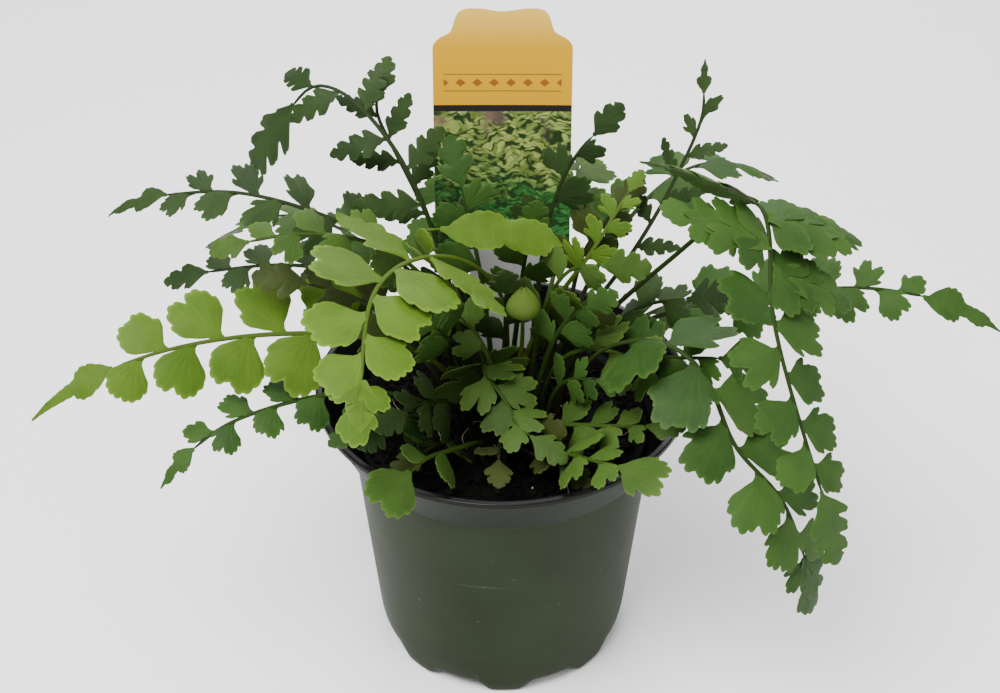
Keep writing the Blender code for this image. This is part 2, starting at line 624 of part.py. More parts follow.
def frond_list():
    """Every frond: name, tone, route, facing, bare share of the stem, pairs and sizes."""
    return [
        Frond("frond_left_bright", "bright",
              [(-12, -1), (-15, -2, 100), (-30, -4, 113), (-45, -7, 118), (-73, -13, 122),
               (-97, -21, 122), (-110, -26, 119)],
              (-0.1, -0.7, 0.7), 0.46, 4, 22.0, 27.0, side=-1.0, cut=0.09, taper=0.50, tip_width=0.17),
        Frond("frond_front_bright", "bright",
              [(1, 9), (2, 8, 108), (0, 6, 127), (-13, -5, 145), (-28, -22, 153), (-35, -38, 153),
               (-36, -51, 148), (-36, -62, 142)],
              (0.0, -0.6, 0.8), 0.60, 4, 23.0, 18.0, compound=1, long=30.0, cut=0.09, tip_width=0.42,
              long_width=0.30, angle=96.0, twist=8.0),
        Frond("frond_upper_left", "dark",
              [(-10, 13), (-14, 15, 112), (-22, 21, 142), (-31, 29, 159), (-43, 40, 169),
               (-51, 43, 173), (-58, 46, 172), (-63, 45, 166)],
              (-0.2, -0.5, 0.8), 0.34, 4, 19.0, 27.0, compound=4, long=20.0, long_width=0.26,
              lift=0.0, taper=0.10, droop=0.34, angle=80.0, twist=4.0, tip_width=0.34),
        Frond("frond_upper_left_back", "dark",
              [(-5, 18), (-12, 23, 112), (-21, 28, 132), (-28, 35, 145), (-35, 42, 156), (-39, 46, 163),
               (-38, 50, 166)],
              (-0.1, -0.6, 0.8), 0.52, 3, 17.0, 15.0, compound=3, long=17.0, long_width=0.24,
              taper=0.15, angle=70.0, twist=4.0, side=-1.0, tip_width=0.26),
        Frond("frond_left_dark", "dark",
              [(-15, 11), (-18, 11, 114), (-34, 16, 134), (-52, 18, 143), (-70, 19, 149),
               (-84, 21, 150), (-100, 23, 147)],
              (-0.1, -0.3, 1.0), 0.54, 4, 17.0, 21.0, side=-1.0, wide=0.75, tip_width=0.22),
        Frond("frond_left_middle", "dark",
              [(-19, 4), (-24, 10, 104), (-38, 17, 119), (-56, 20, 124), (-72, 21, 124), (-90, 21, 121)],
              (0.0, -0.3, 1.0), 0.48, 4, 14.0, 15.0),
        Frond("frond_left_fresh", "fresh",
              [(-7, 4), (-12, 2, 115), (-26, -1, 140), (-42, -3, 149), (-58, -6, 152), (-71, -8, 150)],
              (-0.1, -0.4, 1.0), 0.60, 3, 13.0, 12.0),
        Frond("frond_left_olive", "olive",
              [(-13, -7), (-18, -7, 100), (-30, -6, 120), (-44, -5, 131), (-56, -7, 135)],
              (-0.2, -0.4, 1.0), 0.60, 2, 15.0, 16.0),
        Frond("frond_low_left", "mid",
              [(-18, -7), (-24, -9, 95), (-38, -14, 102), (-52, -18, 104), (-66, -24, 104),
               (-80, -31, 103), (-88, -36, 98)],
              (-0.1, -0.5, 1.0), 0.40, 4, 13.0, 15.0, tip_width=0.24),
        Frond("frond_rim_left", "mid",
              [(-15, -14), (-20, -19, 96), (-30, -27, 103), (-40, -35, 104)],
              (-0.3, -0.5, 1.0), 0.60, 1, 11.0, 11.0, cut=0.10),
        Frond("frond_front_dark", "dark",
              [(-9, -12), (-13, -16, 98), (-20, -23, 106), (-27, -32, 108)],
              (-0.2, -0.6, 0.8), 0.60, 2, 13.0, 13.0),
        Frond("frond_rim_front", "fresh",
              [(-6, -20), (-8, -26, 92), (-14, -38, 99), (-21, -49, 106), (-25, -56, 106)],
              (-0.1, -0.7, 0.8), 0.66, 1, 11.0, 16.0, cut=0.10, tip_width=0.42),
        Frond("frond_low_front_left", "olive",
              [(-13, -20), (-15, -24, 91), (-19, -29, 94), (-23, -33, 94)],
              (-0.2, -0.5, 1.0), 0.55, 1, 11.0, 12.0),
        Frond("frond_young_centre", "fresh",
              [(-4, -5), (-6, -6, 99), (-5, -8, 109), (-6, -18, 111), (1, -22, 106), (4, -31, 102),
               (8, -34, 101)],
              (0.0, -0.6, 0.9), 0.28, 5, 13.0, 13.0, cut=0.32, twist=6.0),
        Frond("frond_low_front", "olive",
              [(1, -21), (0, -24, 92), (-1, -32, 96), (-1, -40, 97)],
              (0.0, -0.5, 1.0), 0.50, 1, 12.0, 12.0),
        Frond("frond_young_right", "fresh",
              [(8, -14), (10, -17, 92), (18, -21, 95), (30, -27, 99), (41, -32, 103)],
              (0.0, -0.5, 1.0), 0.50, 3, 10.0, 12.0),
        Frond("frond_rim_right", "fresh",
              [(13, -20), (14, -28, 92), (18, -38, 98), (25, -46, 102), (32, -51, 104)],
              (0.2, -0.6, 0.9), 0.60, 2, 13.0, 16.0, tip_width=0.40),
        Frond("frond_fan_right", "mid",
              [(13, -9), (15, -11, 100), (20, -15, 108), (27, -21, 111)],
              (0.1, -0.6, 0.9), 0.64, 2, 10.0, 12.0),
        Frond("frond_right_inner", "fresh",
              [(12, 0), (15, -1, 103), (24, -5, 112), (36, -13, 115), (45, -24, 114)],
              (0.2, -0.6, 0.9), 0.62, 2, 15.0, 19.0),
        Frond("frond_right_low", "mid",
              [(19, -8), (24, -10, 110), (32, -14, 120), (47, -26, 130), (59, -36, 122), (63, -46, 105),
               (78, -54, 98), (86, -55, 74)],
              (0.4, -0.6, 0.6), 0.39, 5, 22.0, 23.0, side=-1.0, tip_width=0.38),
        Frond("frond_right_arch", "mid",
              [(17, 2), (23, 4, 106), (35, 3, 123), (48, -1, 139), (59, -12, 160), (68, -22, 175),
               (70, -36, 169), (68, -50, 159), (71, -62, 148), (76, -71, 134), (82, -77, 118)],
              (0.5, -0.6, 0.6), 0.58, 6, 19.0, 22.0, compound=2, long=36.0, angle=104.0, side=-1.0),
        Frond("frond_far_right", "mid",
              [(19, 7), (25, 7, 98), (38, 7, 111), (58, 7, 119), (88, 7, 124), (110, 6, 126),
               (125, 5, 123)],
              (0.0, -0.5, 0.9), 0.44, 5, 15.0, 27.0, side=-1.0, tip_width=0.22),
        Frond("frond_upright", "dark",
              [(14, 13), (19, 15, 101), (34, 21, 117), (47, 29, 136), (56, 37, 153), (61, 43, 163),
               (61, 48, 168)],
              (-0.6, -0.4, 0.6), 0.46, 4, 12.0, 12.0, compound=3, long=17.0, long_width=0.20, taper=0.30,
              wide=0.6, cut=0.45, twist=4.0, tip_width=0.24),
        Frond("frond_pale_small", "bright",
              [(5, 14), (12, 14, 110), (26, 16, 129), (34, 23, 141), (38, 27, 146)],
              (0.0, -0.6, 0.8), 0.66, 3, 10.0, 8.0, wide=0.8, cut=0.40),
        Frond("frond_by_label_right", "dark",
              [(9, 20), (11, 23, 115), (14, 27, 140), (21, 32, 155), (27, 34, 161)],
              (0.1, -0.7, 0.7), 0.64, 2, 13.0, 13.0),
        Frond("frond_by_label_left", "mid",
              [(-3, 13), (-5, 14, 115), (-9, 17, 138), (-12, 22, 150)],
              (0.0, -0.7, 0.7), 0.66, 2, 15.0, 16.0),
        Frond("frond_centre_fans", "fresh",
              [(8, 5), (11, 6, 110), (14, -2, 130), (20, -4, 140), (28, -8, 142)],
              (0.0, -0.6, 0.8), 0.54, 2, 16.0, 15.0, cut=0.10, angle=72.0),
        Frond("frond_centre_right", "mid",
              [(9, -4), (13, -5, 109), (18, -7, 123), (24, -12, 130)],
              (0.0, -0.6, 0.8), 0.66, 2, 12.0, 13.0, twist=6.0),
        Frond("frond_centre_left", "mid",
              [(-9, -4), (-12, -6, 106), (-17, -9, 120), (-19, -23, 131)],
              (0.0, -0.6, 0.8), 0.64, 2, 13.0, 14.0, twist=6.0),
        Frond("frond_centre_dark", "dark",
              [(-2, 2), (1, 2, 104), (1, 1, 123), (1, -4, 130)],
              (0.0, -0.6, 0.8), 0.62, 2, 12.0, 14.0),
        Frond("frond_centre_bright", "bright",
              [(-4, 8), (-9, 8, 114), (-20, 5, 134), (-26, 4, 142), (-25, 3, 147), (-18, 2, 148)],
              (-0.8, -0.6, 0.2), 0.70, 1, 12.0, 34.0, angle=80.0, cut=0.09, tip_width=0.20),
        Frond("frond_centre_lace", "fresh",
              [(0, -10), (-2, -14, 110), (-9, -5, 121), (-19, -5, 124), (-25, -7, 126)],
              (0.0, -0.6, 0.8), 0.62, 2, 11.0, 12.0, cut=0.36),
        Frond("frond_behind_bud", "mid",
              [(3, 20), (5, 16, 110), (6, 13, 127), (8, 10, 140)],
              (0.0, -0.7, 0.7), 0.64, 2, 13.0, 14.0, twist=6.0),
        Frond("frond_olive_right", "olive",
              [(19, 14), (20, 19, 102), (23, 26, 120), (27, 24, 132), (34, 29, 138)],
              (0.0, -0.6, 0.8), 0.66, 2, 14.0, 14.0),
        Frond("frond_mid_right", "dark",
              [(24, 3), (27, 4, 104), (35, 4, 115), (42, 6, 120), (54, -1, 126)],
              (0.1, -0.5, 0.9), 0.46, 2, 15.0, 17.0),
        Frond("frond_low_front_right", "olive",
              [(7, -21), (8, -26, 90), (11, -31, 94), (16, -37, 94)],
              (0.0, -0.5, 1.0), 0.52, 1, 12.0, 13.0),
        Frond("frond_front_right", "mid",
              [(24, -3), (30, -8, 101), (38, -12, 112), (46, -11, 112), (61, -25, 122)],
              (0.1, -0.6, 0.9), 0.58, 2, 16.0, 18.0),
        Frond("frond_low_left_dark", "dark",
              [(-22, -13), (-24, -16, 92), (-28, -19, 94), (-34, -29, 98)],
              (-0.2, -0.5, 1.0), 0.56, 1, 12.0, 13.0),
        Frond("frond_low_centre", "olive",
              [(3, -15), (4, -16, 92), (4, -20, 99), (10, -26, 100)],
              (0.0, -0.6, 0.9), 0.50, 2, 10.0, 11.0, cut=0.32),
        Frond("frond_centre_olive", "olive",
              [(13, 6), (15, 6, 104), (18, 3, 115), (24, -2, 119)],
              (0.0, -0.6, 0.8), 0.58, 2, 10.0, 12.0, twist=6.0, angle=78.0),
        Frond("frond_unrolling", "bright",
              [(3, -2), (5, -1, 98), (6, -1, 110), (6, -2, 117), (6, -4, 122)],
              (0.0, -1.0, 0.2), 0.80, 1, 8.0, 11.0, angle=55.0, twist=0.0, wide=0.6, tip_width=0.42),
        Frond("frond_back_right", "mid",
              [(17, 21), (24, 30, 105), (38, 45, 124), (54, 62, 132), (70, 80, 128), (84, 96, 116)],
              (0.3, 0.4, 0.9), 0.44, 3, 19.0, 22.0),
        Frond("frond_back_middle_right", "fresh",
              [(9, 27), (14, 34, 98), (17, 46, 106), (22, 62, 118), (26, 82, 122), (26, 104, 114)],
              (0.1, 0.4, 0.9), 0.48, 3, 18.0, 20.0),
        Frond("frond_back_middle_left", "mid",
              [(-7, 27), (-13, 34, 98), (-17, 46, 106), (-20, 62, 117), (-16, 84, 120), (-10, 102, 112)],
              (-0.1, 0.4, 0.9), 0.48, 3, 17.0, 18.0),
        Frond("frond_back_left", "mid",
              [(-16, 21), (-24, 30, 102), (-40, 42, 116), (-58, 55, 120), (-76, 68, 114), (-90, 78, 102)],
              (-0.3, 0.4, 0.9), 0.44, 3, 18.0, 20.0),
        Frond("frond_back_low_right", "dark",
              [(24, 14), (32, 18, 96), (46, 25, 104), (60, 32, 104), (74, 39, 98)],
              (0.3, 0.2, 1.0), 0.50, 3, 14.0, 16.0),
    ]


def build():
    clear_scene()
    specs = frond_list()
    build_pot()
    build_mix([spec.route[0] for spec in specs])
    build_label()
    materials = {}
    for spec in specs:
        tone = spec.tone
        if tone not in materials:
            materials[tone] = frond_material(tone)
        build_frond(spec, materials[tone])


build()
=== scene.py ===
"""A potted spleenwort fern: the looks of its fronds, pot, potting mix and plant label.

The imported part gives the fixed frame. Every piece here takes one node's place and keeps
its form. Lengths are metres in the meshes and in the pot's sizes, and millimetres in the
sizes of the fronds, the mix and the label.
"""

import json
import logging
import math
import random
from dataclasses import dataclass, field, replace
from enum import Enum

import bmesh
import bpy
import numpy as np
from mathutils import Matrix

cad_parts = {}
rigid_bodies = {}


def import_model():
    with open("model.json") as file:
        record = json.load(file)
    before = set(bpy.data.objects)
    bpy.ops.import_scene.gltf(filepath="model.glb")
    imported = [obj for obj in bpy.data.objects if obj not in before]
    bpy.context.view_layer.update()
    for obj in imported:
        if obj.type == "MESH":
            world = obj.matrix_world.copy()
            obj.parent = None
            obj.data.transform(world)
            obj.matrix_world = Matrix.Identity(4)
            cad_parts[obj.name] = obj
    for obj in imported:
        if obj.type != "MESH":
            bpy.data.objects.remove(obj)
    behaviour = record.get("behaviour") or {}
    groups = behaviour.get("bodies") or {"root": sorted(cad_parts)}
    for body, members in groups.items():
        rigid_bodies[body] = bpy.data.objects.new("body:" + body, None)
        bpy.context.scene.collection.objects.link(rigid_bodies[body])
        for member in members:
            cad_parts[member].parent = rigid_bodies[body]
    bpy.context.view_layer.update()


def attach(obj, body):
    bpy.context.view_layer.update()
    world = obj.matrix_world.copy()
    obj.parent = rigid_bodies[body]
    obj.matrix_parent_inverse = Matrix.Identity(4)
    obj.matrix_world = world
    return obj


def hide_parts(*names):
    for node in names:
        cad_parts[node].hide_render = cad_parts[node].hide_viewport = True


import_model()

Array = np.ndarray
Color = tuple[float, float, float]
LOG = logging.getLogger("fern")
MM = 0.001

# Heights in millimetres
MIX_TOP = 82.0
STEM_FOOT = 72.0
HOLE_TOP = 102.0


# Node graphs

class Graph:
    """Writes the nodes of one material, one call a node."""

    def __init__(self, name: str) -> None:
        """Start a material with its output and one Principled shader.

        Args:
            name: the material's name.
        """
        self.material = bpy.data.materials.new(name)
        self.material.use_nodes = True
        self.tree = self.material.node_tree
        self.shader = self.tree.nodes["Principled BSDF"]

    def node(self, kind: str, inputs: dict | None = None, **settings: object) -> bpy.types.Node:
        """Add a node.

        Args:
            kind: the node's type name in Blender.
            inputs: socket name or number to a value or to another node's output.
            settings: plain properties of the node.

        Returns:
            The new node.
        """
        made = self.tree.nodes.new(kind)
        for key, value in settings.items():
            setattr(made, key, value)
        for key, value in (inputs or {}).items():
            self.feed(made.inputs[key], value)
        return made

    def feed(self, socket: bpy.types.NodeSocket, value: object) -> None:
        """Link a socket to another node's output, or set its plain value.

        Args:
            socket: the socket to feed.
            value: an output to link, a colour or a plain number.
        """
        if isinstance(value, bpy.types.NodeSocket):
            self.tree.links.new(value, socket)
        elif isinstance(value, tuple) and socket.type == "RGBA":
            socket.default_value = (*value, 1.0)
        else:
            socket.default_value = value

    def math(self, operation: str, *values: object) -> bpy.types.NodeSocket:
        """Return the output of one Math node on the given values."""
        return self.node("ShaderNodeMath", dict(enumerate(values)), operation=operation).outputs[0]

    def ramp(self, value: object, low: float, high: float, start: float = 0.0,
             end: float = 1.0) -> bpy.types.NodeSocket:
        """Return the value carried smoothly from low..high to start..end.

        Args:
            value: the value or output to carry.
            low: where the step starts.
            high: where it ends.
            start: the result below the step.
            end: the result above it.

        Returns:
            The node's output.
        """
        inputs = {"Value": value, 1: low, 2: high, 3: start, 4: end}
        made = self.node("ShaderNodeMapRange", inputs, interpolation_type="SMOOTHSTEP")
        return made.outputs["Result"]

    def mix(self, factor: object, first: object, second: object) -> bpy.types.NodeSocket:
        """Return two colours mixed by a factor."""
        inputs = {0: factor, 6: first, 7: second}
        return self.node("ShaderNodeMix", inputs, data_type="RGBA").outputs[2]

    def noise(self, scale: float, detail: float = 3.0, vector: object = None,
              distortion: float = 0.0) -> bpy.types.NodeSocket:
        """Return a noise value on Object coordinates, or on the given vector."""
        inputs = {"Scale": scale, "Detail": detail, "Distortion": distortion,
                  "Vector": vector or self.place()}
        return self.node("ShaderNodeTexNoise", inputs).outputs["Fac"]

    def place(self) -> bpy.types.NodeSocket:
        """Return the Object coordinates."""
        return self.node("ShaderNodeTexCoord").outputs["Object"]

    def attribute(self, name: str) -> bpy.types.NodeSocket:
        """Return the value of one of the mesh's own attributes."""
        return self.node("ShaderNodeAttribute", attribute_name=name).outputs["Fac"]

    def uv(self) -> tuple[bpy.types.NodeSocket, bpy.types.NodeSocket]:
        """Return the two parts of the piece's own UV map.

        Returns:
            The outputs across and along.
        """
        source = self.node("ShaderNodeUVMap", uv_map="UVMap")
        split = self.node("ShaderNodeSeparateXYZ", {"Vector": source.outputs["UV"]}).outputs
        return split["X"], split["Y"]

    def bump(self, height: object, distance: float, strength: float = 1.0) -> None:
        """Give the shader a bumped normal from a height."""
        made = self.node("ShaderNodeBump", {"Height": height, "Distance": distance, "Strength": strength})
        self.feed(self.shader.inputs["Normal"], made.outputs["Normal"])

    def surface(self, color: object, roughness: object, specular: object = 0.5) -> None:
        """Set the shader's colour, roughness and specular level.

        Args:
            color: the base colour or an output.
            roughness: the roughness or an output.
            specular: the specular level or an output.
        """
        self.feed(self.shader.inputs["Base Color"], color)
        self.feed(self.shader.inputs["Roughness"], roughness)
        self.feed(self.shader.inputs["Specular IOR Level"], specular)


# Finishes

@dataclass(frozen=True)
class LeafFinish:
    """A fern blade: soft sheen, pale forked veins, lighter margin and dull underside."""

    name: str
    deep: Color
    light: Color
    margin: Color
    under: Color
    roughness: float = 0.56

    def material(self) -> bpy.types.Material:
        """Return the blade's material.

        The UV map holds the vein count across the blade and the way out along it. A vein
        stands at each half count and forks a quarter of the way out.

        Returns:
            The finished material.
        """
        g = Graph(self.name)
        count, out = g.uv()
        aside = g.math("ABSOLUTE", g.math("SUBTRACT", g.math("FRACT", count), 0.5))
        fork = g.ramp(out, 0.25, 0.8, 0.0, 0.25)
        from_vein = g.math("ABSOLUTE", g.math("SUBTRACT", aside, fork))
        vein = g.math("MULTIPLY", g.ramp(from_vein, 0.02, 0.10, 1.0, 0.0),
                      g.ramp(out, 0.55, 1.0, 1.0, 0.35))
        patch = g.noise(130.0, 4.0)
        shade = g.attribute("shade")
        tone = g.math("ADD", g.math("MULTIPLY", patch, 0.55), g.math("MULTIPLY", shade, 0.45))
        color = g.mix(g.ramp(tone, 0.25, 0.75), self.deep, self.light)
        color = g.mix(g.math("MULTIPLY", vein, 0.10), color, self.margin)
        edge = g.ramp(g.attribute("edge"), 0.90, 1.0)
        color = g.mix(g.math("MULTIPLY", edge, 0.55), color, self.margin)
        color = g.mix(g.math("MULTIPLY", g.attribute("under"), 0.75), color, self.under)
        fine = g.noise(2200.0, 2.0)
        rough = g.ramp(fine, 0.3, 0.7, self.roughness - 0.05, self.roughness + 0.08)
        g.surface(color, rough, 0.12)
        shader = g.shader.inputs
        shader["Subsurface Weight"].default_value = 0.16
        shader["Subsurface Radius"].default_value = (0.45, 1.0, 0.15)
        shader["Subsurface Scale"].default_value = 0.0012
        height = g.math("SUBTRACT", g.math("MULTIPLY", fine, 0.30), g.math("MULTIPLY", vein, 0.45))
        g.bump(height, 0.00008, 0.5)
        return g.material


@dataclass(frozen=True)
class StemFinish:
    """A fern stem: brown at its foot, green farther up, finely streaked along its length."""

    name: str
    foot: Color
    green: Color

    def material(self) -> bpy.types.Material:
        """Return the stem's material; the UV map runs round it and along it.

        Returns:
            The finished material.
        """
        g = Graph(self.name)
        around, along = g.uv()
        streak = g.node("ShaderNodeCombineXYZ", {
            "X": g.math("MULTIPLY", around, 24.0), "Y": g.math("MULTIPLY", along, 3.0)})
        fibre = g.noise(1.0, 3.0, streak.outputs[0])
        reach = g.math("ADD", along, g.math("MULTIPLY", fibre, 0.25))
        color = g.mix(g.ramp(reach, 0.18, 0.62), self.foot, self.green)
        pale = tuple(2.0 * c for c in self.green)
        color = g.mix(g.ramp(fibre, 0.45, 0.8, 0.0, 0.45), color, pale)
        g.surface(color, g.ramp(fibre, 0.3, 0.7, 0.46, 0.60), 0.10)
        g.bump(fibre, 0.0001, 0.5)
        return g.material


@dataclass(frozen=True)
class ScaleFinish:
    """The thin brown scales that clothe a stem's foot."""

    name: str
    tone: Color

    def material(self) -> bpy.types.Material:
        """Return the scales' papery brown material.

        Returns:
            The finished material.
        """
        g = Graph(self.name)
        cells = g.noise(3500.0, 2.0)
        dark = tuple(0.45 * c for c in self.tone)
        g.surface(g.mix(cells, dark, self.tone), 0.62)
        return g.material


@dataclass(frozen=True)
class PotFinish:
    """Moulded plastic, green outside and black inside, with scuffs and dust, and painted shade that darkens
    the rim band.
    """

    name: str
    green: Color
    black: Color

    def material(self) -> bpy.types.Material:
        """Return the pot's material; attribute inside is 1 on the black wall.

        Returns:
            The finished material.
        """
        g = Graph(self.name)
        inside = g.ramp(g.attribute("inside"), 0.45, 0.55)
        cloud = g.noise(28.0, 4.0)
        grain = g.noise(900.0, 3.0)
        pale = tuple(1.35 * c + 0.004 for c in self.green)
        color = g.mix(g.ramp(cloud, 0.3, 0.75), self.green, pale)
        squash = g.node("ShaderNodeMapping", {"Vector": g.place(), "Scale": (60.0, 60.0, 900.0)})
        scratch = g.ramp(g.noise(1.0, 4.0, squash.outputs[0], 0.6), 0.68, 0.74)
        speck = g.ramp(g.noise(420.0, 1.0), 0.76, 0.80)
        worn = g.math("MAXIMUM", g.math("MULTIPLY", scratch, 0.22), g.math("MULTIPLY", speck, 0.5))
        color = g.mix(worn, color, (0.075, 0.09, 0.06))
        # Painted shade: from 77.5 to 79.5 mm up, the rim band is mixed 62 per cent of the way to black, so
        # that it renders no lighter than the wall below
        band = g.ramp(g.node("ShaderNodeSeparateXYZ", {"Vector": g.place()}).outputs["Z"], 0.0775, 0.0795)
        color = g.mix(g.math("MULTIPLY", band, 0.62), color, self.black)
        color = g.mix(inside, color, self.black)
        rough = g.math("SUBTRACT", g.ramp(cloud, 0.2, 0.8, 0.42, 0.56),
                       g.math("MULTIPLY", inside, 0.12))
        g.surface(color, rough, g.math("ADD", 0.07, g.math("MULTIPLY", inside, 0.12)))
        g.bump(g.math("ADD", g.math("MULTIPLY", grain, 0.5), scratch), 0.00004, 0.5)
        return g.material


@dataclass(frozen=True)
class MixFinish:
    """Dark peat with browner crumbs."""

    name: str
    dark: Color
    brown: Color
    roughness: float = 0.85

    def material(self) -> bpy.types.Material:
        """Return the material; attribute shade picks each crumb's tone.

        Returns:
            The finished material.
        """
        g = Graph(self.name)
        clump = g.noise(260.0, 4.0)
        fine = g.noise(2600.0, 3.0)
        tone = g.math("ADD", g.math("MULTIPLY", clump, 0.5), g.math("MULTIPLY", g.attribute("shade"), 0.5))
        color = g.mix(g.ramp(tone, 0.35, 0.8), self.dark, self.brown)
        g.surface(color, g.ramp(fine, 0.3, 0.7, self.roughness - 0.15, self.roughness), 0.08)
        g.bump(fine, 0.0004, 0.8)
        return g.material


@dataclass(frozen=True)
class PlainGrain:
    """A pale mineral grain or a dry root fibre."""

    name: str
    tone: Color
    roughness: float = 0.8

    def material(self) -> bpy.types.Material:
        """Return the grain's lightly pitted material.

        Returns:
            The finished material.
        """
        g = Graph(self.name)
        pits = g.noise(1800.0, 3.0)
        dim = tuple(0.55 * c for c in self.tone)
        g.surface(g.mix(g.ramp(pits, 0.35, 0.6), dim, self.tone), self.roughness)
        g.bump(pits, 0.0002, 0.6)
        return g.material


@dataclass(frozen=True)
class LabelFinish:
    """A printed plastic label: warm head, dark bars and a picture of green foliage."""

    name: str
    gold: Color
    peach: Color
    bar: Color
    stake: Color
    picture_low: float
    picture_high: float
    bar_width: float = 2.0

    def material(self) -> bpy.types.Material:
        """Return the label's material; the UV map holds millimetres across and up the label.

        Returns:
            The finished material.
        """
        g = Graph(self.name)
        x, y = g.uv()
        top = self.picture_high + self.bar_width
        head = g.mix(g.ramp(y, top + 16.0, top + 30.0), self.gold, self.peach)
        head = g.mix(self.border(g, x, y, top + 7.0), head, (0.16, 0.045, 0.010))
        picture = self.foliage(g, x, y)
        color = g.mix(g.math("GREATER_THAN", y, self.picture_low), self.bar, picture)
        color = g.mix(g.math("GREATER_THAN", y, self.picture_high), color, self.bar)
        color = g.mix(g.math("GREATER_THAN", y, top), color, head)
        below = g.math("LESS_THAN", y, self.picture_low - self.bar_width)
        plain = g.math("MAXIMUM", below, g.ramp(g.attribute("under"), 0.4, 0.6))
        color = g.mix(plain, color, self.stake)
        dust = g.noise(700.0, 3.0)
        g.surface(color, g.ramp(dust, 0.3, 0.7, 0.40, 0.52), 0.15)
        g.bump(dust, 0.00002, 0.4)
        return g.material

    def border(self, g: Graph, x: object, y: object, middle: float) -> bpy.types.NodeSocket:
        """Return 1 on a plain border: a row of lozenges between two thin rules.

        Args:
            g: the graph that the nodes go into.
            x: millimetres across the label.
            y: millimetres up it.
            middle: height of the row's middle.

        Returns:
            The output that is 1 on the border's marks.
        """
        up = g.math("ABSOLUTE", g.math("SUBTRACT", y, middle))
        aside = g.math("ABSOLUTE", x)
        across = g.math("ABSOLUTE", g.math("SUBTRACT", g.math("FRACT", g.math("DIVIDE", x, 5.2)), 0.5))
        lozenge = g.math("LESS_THAN", g.math("ADD", g.math("MULTIPLY", across, 3.2),
                                             g.math("MULTIPLY", up, 0.8)), 1.0)
        rule = g.math("LESS_THAN", g.math("ABSOLUTE", g.math("SUBTRACT", up, 2.6)), 0.16)
        marks = g.math("MAXIMUM", lozenge, rule)
        return g.math("MULTIPLY", g.math("MULTIPLY", marks, 0.85), g.math("LESS_THAN", aside, 18.2))

    def foliage(self, g: Graph, x: object, y: object) -> bpy.types.NodeSocket:
        """Return the picture's colour: small leaves in loose arching rows over brown and grey.

        Args:
            g: the graph that the nodes go into.
            x: millimetres across the label.
            y: millimetres up it.

        Returns:
            The picture's colour output.
        """
        flat = g.node("ShaderNodeCombineXYZ", {"X": x, "Y": y}).outputs[0]
        warp = g.node("ShaderNodeTexNoise", {"Vector": flat, "Scale": 0.16, "Detail": 2.0})
        bent = g.node("ShaderNodeVectorMath", {0: warp.outputs["Color"], 1: (9.0, 9.0, 0.0)},
                      operation="MULTIPLY").outputs[0]
        bent = g.node("ShaderNodeVectorMath", {0: bent, 1: flat}, operation="ADD").outputs[0]
        stretched = g.node("ShaderNodeMapping", {
            "Vector": bent, "Rotation": (0.0, 0.0, 0.6), "Scale": (0.42, 0.95, 1.0)}).outputs[0]
        leaves = g.node("ShaderNodeTexVoronoi", {"Vector": stretched, "Scale": 1.0})
        pick = g.node("ShaderNodeSeparateColor", {"Color": leaves.outputs["Color"]}).outputs[0]
        rise = g.ramp(y, self.picture_low, self.picture_high)
        patch = g.noise(0.11, 3.0, flat)
        deep = g.mix(pick, (0.007, 0.053, 0.009), (0.034, 0.161, 0.037))
        pale = g.mix(pick, (0.081, 0.124, 0.022), (0.248, 0.310, 0.081))
        green = g.mix(g.ramp(g.math("ADD", g.math("SUBTRACT", 1.4, rise), patch), 1.20, 1.65), pale, deep)
        gap = g.ramp(leaves.outputs["Distance"], 0.40, 0.75)
        green = g.mix(gap, green, (0.012, 0.028, 0.007))
        ground = g.mix(g.ramp(x, -12.0, 4.0), (0.211, 0.136, 0.081), (0.025, 0.024, 0.026))
        ground = g.mix(g.ramp(g.noise(0.5, 4.0, flat), 0.4, 0.7), ground, (0.074, 0.059, 0.037))
        cover = g.ramp(g.math("ADD", g.math("SUBTRACT", 1.22, rise), g.math("MULTIPLY", patch, 0.75)),
                       0.48, 0.60)
        return g.mix(cover, ground, green)


# Surfaces

def unit(vectors: Array) -> Array:
    """Return vectors at length one along the last axis."""
    return vectors / np.maximum(np.linalg.norm(vectors, axis=-1, keepdims=True), 1e-12)


def smooth(value: Array, low: float, high: float) -> Array:
    """Return 0 below low, 1 above high and a smooth step between."""
    x = np.clip((value - low) / (high - low), 0.0, 1.0)
    return x * x * (3.0 - 2.0 * x)


def grid_quads(rows: int, columns: int, closed: bool = False) -> Array:
    """Return the quads of a grid of points counted row by row.

    Args:
        rows: points down the grid.
        columns: points across it.
        closed: whether the last column joins the first.

    Returns:
        Four point numbers a quad, turned from the row direction to the column direction.
    """
    across = columns if closed else columns - 1
    i, j = np.meshgrid(np.arange(rows - 1), np.arange(across), indexing="ij")
    k = (j + 1) % columns
    quads = [i * columns + j, (i + 1) * columns + j, (i + 1) * columns + k, i * columns + k]
    return np.stack(quads, axis=-1).reshape(-1, 4)


@dataclass
class Shell:
    """One closed surface: points, faces, UV places and values on the points."""

    points: Array
    quads: Array
    triangles: Array = field(default_factory=lambda: np.zeros((0, 3), int))
    uv: Array | None = None
    values: dict[str, Array] = field(default_factory=dict)
    finish: int = 0

    def fans(self) -> Array:
        """Return every face as triangles, each quad split in two."""
        return np.concatenate([self.quads[:, [0, 1, 2]], self.quads[:, [0, 2, 3]], self.triangles])


